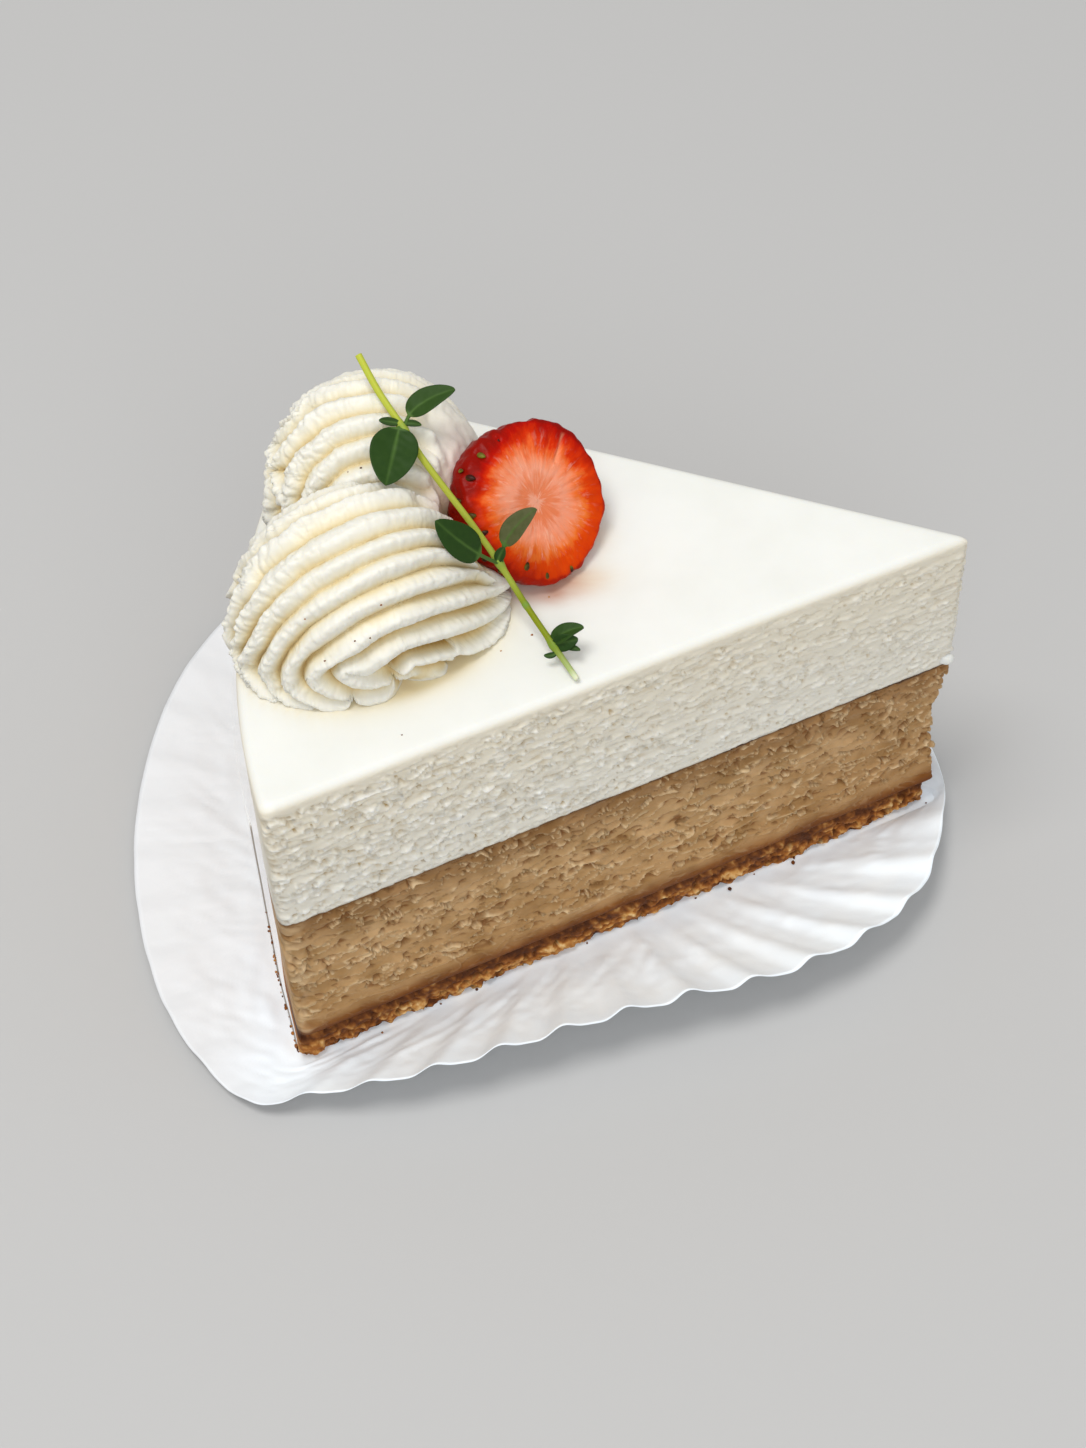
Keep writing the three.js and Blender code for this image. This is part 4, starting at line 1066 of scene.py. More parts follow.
def berryMaterial():
    # Ripe strawberry: wet flesh with pale fibres from the core, clear red skin, a thin film of juice
    material = newMaterial("strawberryFleshFreshCut")
    place = addNode(material, "ShaderNodeTexCoord")
    reach = addNode(material, "ShaderNodeAttribute", {"attribute_name": "reach"})
    spokes = addNode(material, "ShaderNodeAttribute", {"attribute_name": "spokes"})
    ripe = addNode(material, "ShaderNodeAttribute", {"attribute_name": "ripe"})
    fibre = addNode(material, "ShaderNodeTexNoise", None, {"Scale": 11.0, "Detail": 4.0, "Roughness": 0.6},
                    {"Vector": spokes.outputs["Vector"]})
    wedge = addNode(material, "ShaderNodeTexNoise", None, {"Scale": 4.2, "Detail": 2.0, "Roughness": 0.5},
                    {"Vector": spokes.outputs["Vector"]})
    blotch = addNode(material, "ShaderNodeTexNoise", None, {"Scale": perMillimetre(2.2), "Detail": 5.0},
                     {"Vector": place.outputs["Object"]})
    shift = addNode(material, "ShaderNodeMath", {"operation": "MULTIPLY_ADD"}, {1: 0.3, 2: -0.42},
                    {0: fibre.outputs["Fac"]})
    wedged = addNode(material, "ShaderNodeMath", {"operation": "MULTIPLY_ADD"}, {1: 0.3},
                     {0: wedge.outputs["Fac"], 2: shift.outputs["Value"]})
    blotched = addNode(material, "ShaderNodeMath", {"operation": "MULTIPLY_ADD"}, {1: 0.24},
                       {0: blotch.outputs["Fac"], 2: wedged.outputs["Value"]})
    depth = addNode(material, "ShaderNodeMath", {"operation": "ADD"}, None,
                    {0: reach.outputs["Fac"], 1: blotched.outputs["Value"]})
    orange = addNode(material, "ShaderNodeValToRGB",
                     {"stops": [(0.05, "#e49c80"), (0.11, "#d8754c"), (0.2, "#db784f"), (0.32, "#e28f70"),
                                (0.44, "#e58862"), (0.55, "#e06c28"), (0.66, "#d24202"), (0.84, "#c63402"),
                                (0.98, "#a01c04")]},
                     None, {"Fac": depth.outputs["Value"]})
    red = addNode(material, "ShaderNodeValToRGB",
                  {"stops": [(0.05, "#e49c80"), (0.11, "#dd7f57"), (0.2, "#df8058"), (0.32, "#e6987a"),
                              (0.43, "#e78860"), (0.54, "#e2622c"), (0.65, "#cc2c04"), (0.8, "#aa0e02"),
                              (0.95, "#860d04")]},
                  None, {"Fac": depth.outputs["Value"]})
    flesh = addNode(material, "ShaderNodeMix", {"data_type": "RGBA"}, None,
                    {0: ripe.outputs["Fac"], 6: orange.outputs["Color"], 7: red.outputs["Color"]})
    streaks = addNode(material, "ShaderNodeValToRGB", {"stops": [(0.56, 0.0), (0.72, 0.55)]}, None,
                      {"Fac": fibre.outputs["Fac"]})
    ringMask = addNode(material, "ShaderNodeValToRGB", {"stops": [(0.1, 0.25), (0.5, 0.8), (0.78, 0.0)]},
                       None, {"Fac": reach.outputs["Fac"]})
    streakMask = addNode(material, "ShaderNodeMath", {"operation": "MULTIPLY"}, None,
                         {0: streaks.outputs["Color"], 1: ringMask.outputs["Color"]})
    streaked = addNode(material, "ShaderNodeMix", {"data_type": "RGBA"}, {7: hexColor("#f6cdb6")},
                       {0: streakMask.outputs["Value"], 6: flesh.outputs[2]})
    # the crack's pale line stands in for the glints on its wet edges: painted highlight
    color = layTints(material, streaked.outputs[2], {"crack": "#efae86"})
    return finishMaterial(material, {"Base Color": color},
                          {"Roughness": 0.3, "IOR": 1.38, "Specular IOR Level": 0.1,
                           "Subsurface Weight": 0.12, "Subsurface Scale": 0.0012,
                           "Subsurface Radius": (1.0, 0.35, 0.2)},
                          fibre.outputs["Fac"], (0.35, 0.3))


def seedMaterial():
    # Strawberry seed: a dry husk, straw to olive, duller than the wet skin
    material = newMaterial("strawberrySeedDry")
    place = addNode(material, "ShaderNodeTexCoord")
    tone = addNode(material, "ShaderNodeTexNoise", None, {"Scale": perMillimetre(1.5)},
                   {"Vector": place.outputs["Object"]})
    color = addNode(material, "ShaderNodeValToRGB",
                    {"stops": [(0.42, "#381206"), (0.54, "#4c3e10"), (0.7, "#757420")]},
                    None, {"Fac": tone.outputs["Fac"]})
    return finishMaterial(material, {"Base Color": color.outputs["Color"]},
                          {"Roughness": 0.4, "IOR": 1.45, "Specular IOR Level": 0.2})


def buildBerry():
    local, faces = berrySurface(0.0, berry["around"], berry["faceRings"], berry["domeRings"], berryRelief)
    radius = np.hypot(local[:, 0], local[:, 2])
    angle = np.arctan2(local[:, 2], local[:, 0])
    skinHere = skinSide(angle) * ease(radius, 7.2, 9.8)
    reach = 0.85 * radius / berry["radius"] + 0.2 * skinHere + 0.14 * ease(radius, 9.9, 10.6)
    ripe = ease(local @ unit(berry["ripeWay"] @ berryAxes()), -4.5, 6.5)
    values = {"reach": np.where(local[:, 1] < -2.6, 1.1, reach),
              "spokes": np.column_stack([np.cos(angle), np.sin(angle), radius * 0.045]),
              "ripe": np.maximum(ripe, 0.6 * skinHere),
              "crack": 0.45 * np.exp(-(crackAt(local) / 0.16) ** 2) * (local[:, 1] > -1)}
    placed = berryPlaced(local)
    placed[:, 2] = np.maximum(placed[:, 2], 0.1) + sliceTop
    addPiece("strawberryHalf", placed, faces, berryMaterial(), "strawberry", ["strawberry_half"], values)

    seeds = []
    ball, ballFaces = ballPoints(12, 9)
    taper = 1 - 0.35 * ball[:, :1]
    long, wide, tall = berry["seedSize"]
    for middle, outward, length in seedPlaces():
        along = unit(np.cross(outward, np.cross([0, 1, 0], outward)))
        side = np.cross(outward, along)
        shape = ball[:, :1] * along * long + ball[:, 1:2] * side * wide * taper + ball[:, 2:] * outward * tall
        shape = berryPlaced(shape * length + middle - outward * berry["seedSunk"])
        if shape[:, 2].min() > 0.1:
            seeds.append((shape + (0, 0, sliceTop), ballFaces))
    addPiece("strawberrySeeds", *joined(seeds), seedMaterial(), "strawberry")


# Thyme sprig

stem = {"radius": 0.45, "around": 16, "steps": 160, "route": [
    (-77.9, 15.4, 24.7), (-75.7, 11.4, 22.2), (-72.9, 6.5, 20.6), (-70.6, 2.9, 18.5), (-67.8, -0.4, 15.8),
    (-64.9, -3.6, 12.9), (-61.8, -6.8, 9), (-58.8, -10.6, 5.1), (-55.6, -15.5, 2.6), (-52.7, -20.1, 0.7)],
    "nodes": [(-72.7, 6.3, 20.5), (-61.6, -6.9, 8.9), (-55.3, -15.8, 2.6)], "nodeReach": 0.9, "nodeOut": 0.22,
    "scar": (-58.6, -10.9, 4.9), "scarReach": 0.45, "scarOut": 0.06, "taper": 0.12, "flute": 0.07}
leafLook = {"thick": 0.22, "facing": (0, -0.6, 0.8), "fold": 0.2, "along": 40, "across": 20, "curl": 0.05,
            "stalkHalf": 0.24, "stalkThick": 0.22, "edgeHalf": 0.05, "veinHalf": 0.16, "veinSunk": 0.06,
            "veinProud": 0.08, "sideVeins": 7, "sideVeinSlant": 1.4, "sideVeinHeight": 0.05}
leaves = [
    {"from": (-72.5, 6.3, 20.6), "via": (-71.8, 8.5, 22.8), "to": (-65.9, 8.9, 24.2),
     "width": 3.3, "petiole": 0.24, "widest": 0.45, "roll": -20, "tone": 0.35},
    {"from": (-73.2, 6.2, 20.8), "via": (-74.1, 2.3, 19.9), "to": (-75.2, -2.1, 19.3),
     "width": 6, "petiole": 0.02, "widest": 0.42, "roll": 0, "tone": 0.2},
    {"from": (-72.8, 6.6, 20.9), "via": (-74.3, 6.8, 21.3), "to": (-75.7, 7, 21.4),
     "width": 1, "petiole": 0.05, "widest": 0.5, "roll": 0, "tone": 0.2},
    {"from": (-72.8, 6.6, 20.9), "via": (-71.7, 6.6, 21.2), "to": (-70.4, 6.2, 20.9),
     "width": 0.8, "petiole": 0.05, "widest": 0.5, "roll": 0, "tone": 0.2},
    {"from": (-61.9, -7, 8.9), "via": (-65.2, -9.2, 13.6), "to": (-69.2, -7.7, 18.4),
     "width": 4.3, "petiole": 0.32, "widest": 0.42, "roll": 10, "tone": 0.15},
    {"from": (-61.9, -7.2, 9.0), "via": (-61.6, -6.8, 10.2), "to": (-60.9, -6.3, 11.0),
     "width": 1.3, "petiole": 0.05, "widest": 0.5, "roll": 0, "tone": 0.1},
    {"from": (-61.3, -7, 9.1), "via": (-61.3, -5.4, 12.3), "to": (-56.6, -3.8, 15.1),
     "width": 3.1, "petiole": 0.3, "widest": 0.45, "roll": -25, "tone": 0.75},
    {"from": (-55.5, -15.8, 2.5), "via": (-54.7, -14.8, 4.2), "to": (-51.5, -15.0, 4.8),
     "width": 2.4, "petiole": 0.05, "widest": 0.45, "roll": -30, "tone": 0.3},
    {"from": (-55.4, -15.7, 2.7), "via": (-54.4, -16.2, 3.4), "to": (-52.3, -16.0, 3.8),
     "width": 2.3, "petiole": 0.02, "widest": 0.45, "roll": 20, "tone": 0.1},
    {"from": (-54.9, -16.6, 2.2), "via": (-55.7, -17.2, 1.9), "to": (-56.7, -16.9, 2),
     "width": 0.7, "petiole": 0.05, "widest": 0.5, "roll": 0, "tone": 0.1},
    {"from": (-55.2, -15.9, 2.5), "via": (-53.4, -16.2, 2.8), "to": (-52.1, -16.9, 2.6),
     "width": 0.8, "petiole": 0.05, "widest": 0.5, "roll": 0, "tone": 0.1},
]


def withEnds(route):  # a point more at each end, so that the curve starts and ends on the route
    route = np.array(route, float)
    return np.array([2 * route[0] - route[1], *route, 2 * route[-1] - route[-2]])


def catmullRom(knots, steps):  # even steps on a smooth curve from the second knot to the last but one
    found = []
    for k in range(1, len(knots) - 2):
        p = knots[k - 1:k + 3]
        gaps = np.maximum(np.linalg.norm(np.diff(p, axis=0), axis=1) ** 0.5, 1e-6)
        t = np.concatenate([[0], np.cumsum(gaps)])
        x = np.linspace(t[1], t[2], 60, endpoint=False)[:, None]
        a = [(t[i + 1] - x) / gaps[i] * p[i] + (x - t[i]) / gaps[i] * p[i + 1] for i in range(3)]
        b = [(t[i + 2] - x) / (t[i + 2] - t[i]) * a[i] + (x - t[i]) / (t[i + 2] - t[i]) * a[i + 1]
             for i in range(2)]
        found.append((t[2] - x) / (t[2] - t[1]) * b[0] + (x - t[1]) / (t[2] - t[1]) * b[1])
    dense = np.vstack([*found, knots[-2][None]])
    length = np.concatenate([[0], np.cumsum(np.linalg.norm(np.diff(dense, axis=0), axis=1))])
    even = np.linspace(0, length[-1], steps + 1)
    return np.column_stack([np.interp(even, length, dense[:, i]) for i in range(3)])


def stemMesh():
    line = catmullRom(withEnds(stem["route"]), stem["steps"])
    ways = unit(np.gradient(line, axis=0))
    side = unit(np.cross(ways, [0, 0, 1]))
    top = np.cross(side, ways)
    share = np.linspace(0, 1, len(line))
    swell = sum(near(line, node, (stem["nodeReach"],) * 3) for node in stem["nodes"])
    scar = near(line, stem["scar"], (stem["scarReach"],) * 3)
    radius = stem["radius"] * (1.0 - stem["taper"] * share) + stem["nodeOut"] * swell + stem["scarOut"] * scar
    radius = radius * (1 - ease(share, 0.985, 1.02) * 0.4)
    turns = np.arange(stem["around"]) * 2 * math.pi / stem["around"]
    flute = 1 + stem["flute"] * np.cos(4 * turns)  # thyme stems are faintly square
    sideways, upwards = (np.cos(turns) * flute)[:, None], (np.sin(turns) * flute)[:, None]
    ringPoints = sideways * side[:, None] + upwards * top[:, None]
    points = (line[:, None] + ringPoints * radius[:, None, None]).reshape(-1, 3)
    points = np.vstack([points, line[:1], line[-1:]])
    shares = np.concatenate([np.repeat(share, stem["around"]), [0, 1]])
    joints = np.concatenate([np.repeat(scar + 0.6 * swell, stem["around"]), [0, 0]])
    return points, closedFaces(len(line), stem["around"]), shares, joints


def leafMesh(leaf):
    look = leafLook
    steps, across, thin = look["along"], look["across"], look["thick"]
    a, b, c = (np.array(leaf[key]) for key in ("from", "via", "to"))
    share = (1 - np.cos(np.linspace(0, math.pi, steps + 1))) / 2
    s = share[:, None]
    line = a * (1 - s) ** 2 + b * 2 * s * (1 - s) + c * s ** 2
    tangent = unit(2 * (1 - s) * (b - a) + 2 * s * (c - b))
    facing = np.array(look["facing"], float)
    face = unit(facing - (tangent @ facing)[:, None] * tangent)
    roll = math.radians(leaf["roll"])
    face = face * math.cos(roll) + np.cross(tangent, face) * math.sin(roll)
    side = np.cross(tangent, face)
    blade = np.clip((share - leaf["petiole"]) / (1 - leaf["petiole"]), 0, 1)
    swell = np.sin(math.pi * blade ** (math.log(0.5) / math.log(leaf["widest"]))) ** 0.58
    half = np.where(share < leaf["petiole"], look["stalkHalf"], look["edgeHalf"] + leaf["width"] / 2 * swell)
    half = np.maximum(half, 0.02)
    even = np.linspace(-1, 1, across + 1)
    out = np.sign(even) * np.abs(even) ** 0.9
    vein = np.exp(-(out * half[:, None] / look["veinHalf"]) ** 2)
    wave = np.sin(2 * math.pi * (share[:, None] * look["sideVeins"] - np.abs(out) * look["sideVeinSlant"]))
    sideVeins = look["sideVeinHeight"] * wave * (1 - np.abs(out))
    cup = look["fold"] * half[:, None] * np.abs(out) ** 1.5
    base = line[:, None] + side[:, None] * (out * half[:, None])[..., None]
    curl = look["curl"] * half[:, None] * noise(base, 1.6, 501)
    lift = cup + curl + sideVeins * np.minimum(half[:, None] / 2, 1)
    edgeThin = thin / 2 * np.sqrt(np.maximum(0, 1 - out ** 4))[None] + 0.02
    stalk = (share < leaf["petiole"] + 0.05)[:, None]
    edgeThin = np.where(stalk, look["stalkThick"] * np.sqrt(np.maximum(0, 1 - out ** 2)) + 0.02, edgeThin)
    upper = base + face[:, None] * (lift + edgeThin - look["veinSunk"] * vein * ~stalk)[..., None]
    lower = base + face[:, None] * (lift - edgeThin - look["veinProud"] * vein)[..., None]
    ring = np.concatenate([upper, lower[:, ::-1]], axis=1)
    points = np.vstack([ring.reshape(-1, 3), line[:1], line[-1:]])
    veinValue = np.concatenate([vein, vein[:, ::-1]], axis=1) * (0.35 + 0.65 * (1 - blade[:, None]))
    veinValue = np.maximum(veinValue, np.where(stalk, 1.0, 0.0))
    lowerSide = np.concatenate([np.zeros_like(vein), np.ones_like(vein)], axis=1)
    flat = [np.concatenate([v.ravel(), v.ravel()[:1], v.ravel()[-1:]]) for v in (veinValue, lowerSide)]
    return points, closedFaces(steps + 1, ring.shape[1]), flat[0], flat[1]


def leafMaterial():
    # Thyme leaf: a small tough leaf, deep green and slightly waxy above, greyer below, with a pale midrib
    material = newMaterial("thymeLeafWaxy")
    place = addNode(material, "ShaderNodeTexCoord")
    tone = addNode(material, "ShaderNodeAttribute", {"attribute_name": "tone"})
    mottle = addNode(material, "ShaderNodeTexNoise", None, {"Scale": perMillimetre(0.9), "Detail": 3.0},
                     {"Vector": place.outputs["Object"]})
    shade = addNode(material, "ShaderNodeMath", {"operation": "MULTIPLY_ADD"}, {1: 0.3},
                    {0: mottle.outputs["Fac"], 2: tone.outputs["Fac"]})
    green = addNode(material, "ShaderNodeValToRGB",
                    {"stops": [(0.2, "#203a12"), (0.55, "#2d4717"), (0.8, "#454b28"), (1.0, "#58593a")]},
                    None, {"Fac": shade.outputs["Value"]})
    color = layTints(material, green.outputs["Color"], {"vein": "#48652b"})
    return finishMaterial(material, {"Base Color": color},
                          {"Roughness": 0.5, "IOR": 1.45, "Specular IOR Level": 0.15},
                          mottle.outputs["Fac"], (0.3, 0.1))


def stemMaterial():
    # Thyme stem: soft young growth, yellow green and faintly ribbed, greener towards the tip end
    material = newMaterial("thymeStemYoung")
    place = addNode(material, "ShaderNodeTexCoord")
    share = addNode(material, "ShaderNodeAttribute", {"attribute_name": "share"})
    streak = addNode(material, "ShaderNodeTexNoise", None, {"Scale": perMillimetre(0.8), "Detail": 2.0},
                     {"Vector": place.outputs["Object"]})
    green = addNode(material, "ShaderNodeValToRGB",
                    {"stops": [(0.0, "#b7be42"), (0.4, "#a4ab3a"), (0.7, "#939f38"), (0.76, "#7d860e"),
                               (0.9, "#7c881a"), (0.97, "#a3b370"), (1.0, "#dfe3c4")]},
                    None, {"Fac": share.outputs["Fac"]})
    color = layTints(material, green.outputs["Color"], {"joint": "#6f8f3a"})
    return finishMaterial(material, {"Base Color": color},
                          {"Roughness": 0.45, "IOR": 1.45, "Specular IOR Level": 0.2,
                           "Subsurface Weight": 0.1, "Subsurface Scale": 0.0006},
                          streak.outputs["Fac"], (0.25, 0.1))


def buildThyme():
    points, faces, shares, joints = stemMesh()
    points[:, 2] = np.maximum(points[:, 2], 0.06) + sliceTop
    addPiece("thymeStem", points, faces, stemMaterial(), "thyme", ["thyme_sprig"],
             {"share": shares, "joint": np.clip(joints, 0, 1)})
    parts, veins, tones = [], [], []
    for leaf in leaves:
        leafPoints, leafFaces, vein, lower = leafMesh(leaf)
        leafPoints[:, 2] += sliceTop
        parts.append((leafPoints, leafFaces))
        veins.append(vein)
        tones.append(leaf["tone"] + 0.25 * lower)
    leafPoints, leafFaces = joined(parts)
    addPiece("thymeLeaves", leafPoints, leafFaces, leafMaterial(), "thyme", ["thyme_sprig"],
             {"vein": np.clip(np.concatenate(veins), 0, 1), "tone": np.concatenate(tones)})


# Film round the rim

film = {"thick": 0.3, "low": 3.0, "high": 57.0, "gap": 0.4, "gapAtFront": 1.2, "columns": 160, "rows": 60,
        "fades": {"edge": 140, "band": 30}}


def filmMaterial():
    # Clear cake film: stiff glossy plastic that shows by its reflections, its edge and a haze of cream
    material = newMaterial("cakeFilmClear")
    place = addNode(material, "ShaderNodeTexCoord")
    smear = addNode(material, "ShaderNodeTexNoise", None, {"Scale": perMillimetre(16), "Detail": 2.0},
                    {"Vector": place.outputs["Object"]})
    haze = addNode(material, "ShaderNodeValToRGB", {"stops": [(0.4, 0.03), (0.62, 0.07), (0.8, 0.12)]}, None,
                   {"Fac": smear.outputs["Fac"]})
    edge = addNode(material, "ShaderNodeAttribute", {"attribute_name": "edge"})
    color = addNode(material, "ShaderNodeMix", {"data_type": "RGBA"},
                    {6: hexColor("#f4f3ef"), 7: hexColor("#a39a90")}, {0: edge.outputs["Fac"]})
    band = addNode(material, "ShaderNodeAttribute", {"attribute_name": "band"})
    fogged = addNode(material, "ShaderNodeMath", {"operation": "MULTIPLY_ADD"}, {1: 0.3},
                     {0: band.outputs["Fac"], 2: haze.outputs["Color"]})
    cover = addNode(material, "ShaderNodeMath", {"operation": "MULTIPLY_ADD", "use_clamp": True}, {1: 0.7},
                    {0: edge.outputs["Fac"], 2: fogged.outputs["Value"]})
    return finishMaterial(material, {"Base Color": color.outputs[2], "Alpha": cover.outputs["Value"]},
                          {"Roughness": 0.12, "IOR": 1.5})


def filmLift(heights):  # how far the film's front end stands off the rim, less at its foot
    return (film["gapAtFront"] - film["gap"]) * (0.1 + 0.9 * ease(heights, 3, 24))


def buildFilm():
    _, front, back, centre, radius = sliceCorners()
    angles = [math.atan2(*(p - centre)[::-1]) % (2 * math.pi) for p in (front, back)]
    share = np.linspace(0, 1, film["columns"])
    turn = angles[0] + (angles[1] - angles[0]) * share
    heights = np.linspace(film["low"], film["high"], film["rows"])
    gap = film["gap"] + filmLift(heights)[:, None] * (1 - np.minimum(1, share * 3))
    ways = np.stack([np.cos(turn), np.sin(turn)], axis=-1)
    level, place = np.meshgrid(heights, turn * 60, indexing="ij")
    uneven = 0.1 * noise(np.stack([place, level, level * 0], axis=-1), 14, 601)
    sheets = []
    for depth in (0.05, film["thick"] - 0.05):
        flat = centre + ways[None] * (radius + gap + depth + uneven)[..., None]
        sheets.append(np.concatenate([flat, level[..., None]], axis=-1))
    ring = np.concatenate([sheets[0], sheets[1][:, ::-1]], axis=1)
    rows, around, _ = ring.shape
    faces = gridFaces(rows, around)
    for first in (0, (rows - 1) * around):  # its lower and upper edge
        faces += [[first + k, first + k + 1, first + around - 2 - k, first + around - 1 - k]
                  for k in range(film["columns"] - 1)]
    values = {}
    for key, fade in film["fades"].items():
        value = np.broadcast_to(np.exp(-share * fade), (film["rows"], film["columns"]))
        values[key] = np.concatenate([value, value[:, ::-1]], axis=1).ravel()
    addPiece("cakeFilm", ring.reshape(-1, 3), faces, filmMaterial(), "film", ["acetate_collar"], values)


# Paper liner

paper = {"floorMargin": 0.7, "pleats": 38, "firstPleat": 0.4, "pleatFlat": 0.12, "pleatShare": 0.075,
         "pleatReach": 0.3, "skirtCurve": 1.5, "floorThick": 0.5, "edgeThick": 0.16, "stepsPerPleat": 19,
         "floorRings": 8, "skirtRings": 30, "shadeFade": (-108, -88), "softCrease": 0.16, "sharpCrease": 0.2,
         "fanCrease": 0.34}
linerMiddle = np.array([-54.0, 0.0])
linerEdge = [
    (-117.5, 0, 1.1), (-115, -20, 1.1), (-109.5, -34, 1.4), (-100, -45.2, 2), (-92.5, -46.1, 4.6),
    (-82, -46.4, 7.6), (-70.5, -44.8, 9.1), (-57, -41.5, 9.9), (-42, -37.8, 10), (-26, -34.2, 9.5),
    (-12, -27.2, 8.4), (-3.8, -18.6, 6.4), (0.3, -8, 4.8), (1.8, 0, 3.8),
]


def paperMaterial():
    # Greaseproof paper: thin white sheet, matt with a faint calendered sheen, soft grey in its creases
    material = newMaterial("greaseproofPaperEmbossed")
    place = addNode(material, "ShaderNodeTexCoord")
    fibre = addNode(material, "ShaderNodeTexNoise", None, {"Scale": perMillimetre(0.8), "Detail": 5.0},
                    {"Vector": place.outputs["Object"]})
    cloud = addNode(material, "ShaderNodeTexNoise", None, {"Scale": perMillimetre(9), "Detail": 2.0},
                    {"Vector": place.outputs["Object"]})
    white = addNode(material, "ShaderNodeValToRGB", {"stops": [(0.35, "#f0f8ff"), (0.7, "#f5fbff")]}, None,
                    {"Fac": cloud.outputs["Fac"]})
    # painted shade: the sheet is toned greyer beside the rim
    color = layTints(material, white.outputs["Color"], {"rimSideShade": "#e0e1e3"})
    return finishMaterial(material, {"Base Color": color},
                          {"Roughness": 0.6, "IOR": 1.48},
                          fibre.outputs["Fac"], (0.15, 0.1))


def linerFoot(angles):  # distance from the liner's middle to the fold
    offset = outline + outlineNormals * paper["floorMargin"] - linerMiddle
    return np.interp(angles, np.arctan2(offset[:, 1], offset[:, 0]), np.linalg.norm(offset, axis=1),
                     period=2 * math.pi)


def buildLiner():
    half = np.array(linerEdge)
    loop = [*half, *(half[-2:0:-1] * (1, -1, 1))]
    knots = np.array([loop[-1], *loop, loop[0], loop[1]])
    columns = paper["pleats"] * paper["stepsPerPleat"]
    edge = catmullRom(knots, columns)[:-1]
    offset = edge[:, :2] - linerMiddle
    foot = linerFoot(np.arctan2(offset[:, 1], offset[:, 0]))
    reach = np.linalg.norm(offset, axis=1)
    ways = unit(offset)
    beat = np.arange(columns) / paper["stepsPerPleat"] - paper["firstPleat"]
    wave = 0.8 * np.cos(2 * math.pi * beat) + 0.2 * np.cos(4 * math.pi * beat + 0.8)
    pleat = paper["pleatFlat"] + paper["pleatShare"] * edge[:, 2]
    pleat = pleat * (1 + 0.25 * noise(np.column_stack([beat, beat * 0, beat * 0]), 1.6, 701))
    rows = []
    for k in range(1, paper["floorRings"]):
        flat = linerMiddle + ways * (foot * k / paper["floorRings"])[:, None]
        rows.append((np.column_stack([flat, np.zeros(columns)]), 0.0))
    for share in np.linspace(0, 1, paper["skirtRings"] + 1):
        radial = foot + (reach - foot) * share - paper["pleatReach"] * pleat * wave * share
        height = edge[:, 2] * share ** paper["skirtCurve"] + pleat * wave * share
        flat = linerMiddle + ways * radial[:, None]
        places = np.column_stack([flat, np.zeros(columns)])
        creases = paper["softCrease"] * noise(places, 5, 709, 2)
        creases += paper["sharpCrease"] * np.abs(noise(places * (1, 1.6, 1), 3.2, 719))
        fans = np.column_stack([beat * 1.5 + share * 3.4, np.full(columns, share * 1.6), beat * 0.12])
        creases += paper["fanCrease"] * np.abs(noise(fans, 1.0, 727, 2)) * (1 - ease(share, 0.5, 0.95))
        height = np.maximum(0, height + creases * ease(share, 0.0, 0.2) * (1 - 0.55 * ease(share, 0.6, 1.0)))
        rows.append((np.column_stack([flat, height]), share))
    upper = np.stack([row for row, _ in rows])
    thinned = ease([share for _, share in rows], 0, 0.4)
    thick = paper["floorThick"] + (paper["edgeThick"] - paper["floorThick"]) * thinned
    grid = np.concatenate([upper, (upper - thick[:, None, None] * (0, 0, 1))[::-1]])
    points = np.vstack([grid.reshape(-1, 3), [[*linerMiddle, 0], [*linerMiddle, -paper["floorThick"]]]])
    faces = closedFaces(len(grid), columns)
    shadeByRim = 1 - ease(points[:, 0], *paper["shadeFade"])  # painted shade: a little greyer beside the rim, where the sheet lies flat
    addPiece("paperLiner", points, faces, paperMaterial(), "paper", ["paper_liner"], {"rimSideShade": shadeByRim})


# Loose crumbs

crumbs = {"count": 16, "size": (0.12, 0.3), "away": (0.45, 1.2), "onFilm": 44, "filmSize": (0.1, 0.14),
          "filmFrom": 3.5, "filmUp": 36, "filmIn": 1.4, "filmTall": 1.8, "speckSize": (0.1, 0.08), "seed": 5}
# Dark specks on the cream and on the white top, in pixels of the frame
specks = {"creamShellFront": [(370, 638), (381, 605), (355, 641), (325, 661), (305, 619)],
          "creamShellBack": [(348, 472), (335, 486), (361, 468)],
          "whiteCheese": [(549, 597), (501, 651), (532, 635), (402, 735)]}


def crumbMesh(middle, size, seed, tall=1.0):
    points, faces = ballPoints(9, 7)
    points = points * (1, 1, tall)
    stretch = 0.6 + 0.7 * randomAt(np.array([[seed, 1, 2], [seed, 3, 4], [seed, 5, 6]]), 3)
    points = points * (1 + 0.35 * noise(points + seed * 3.7, 0.9, 811))[:, None] * stretch * size
    return points + np.array(middle), faces


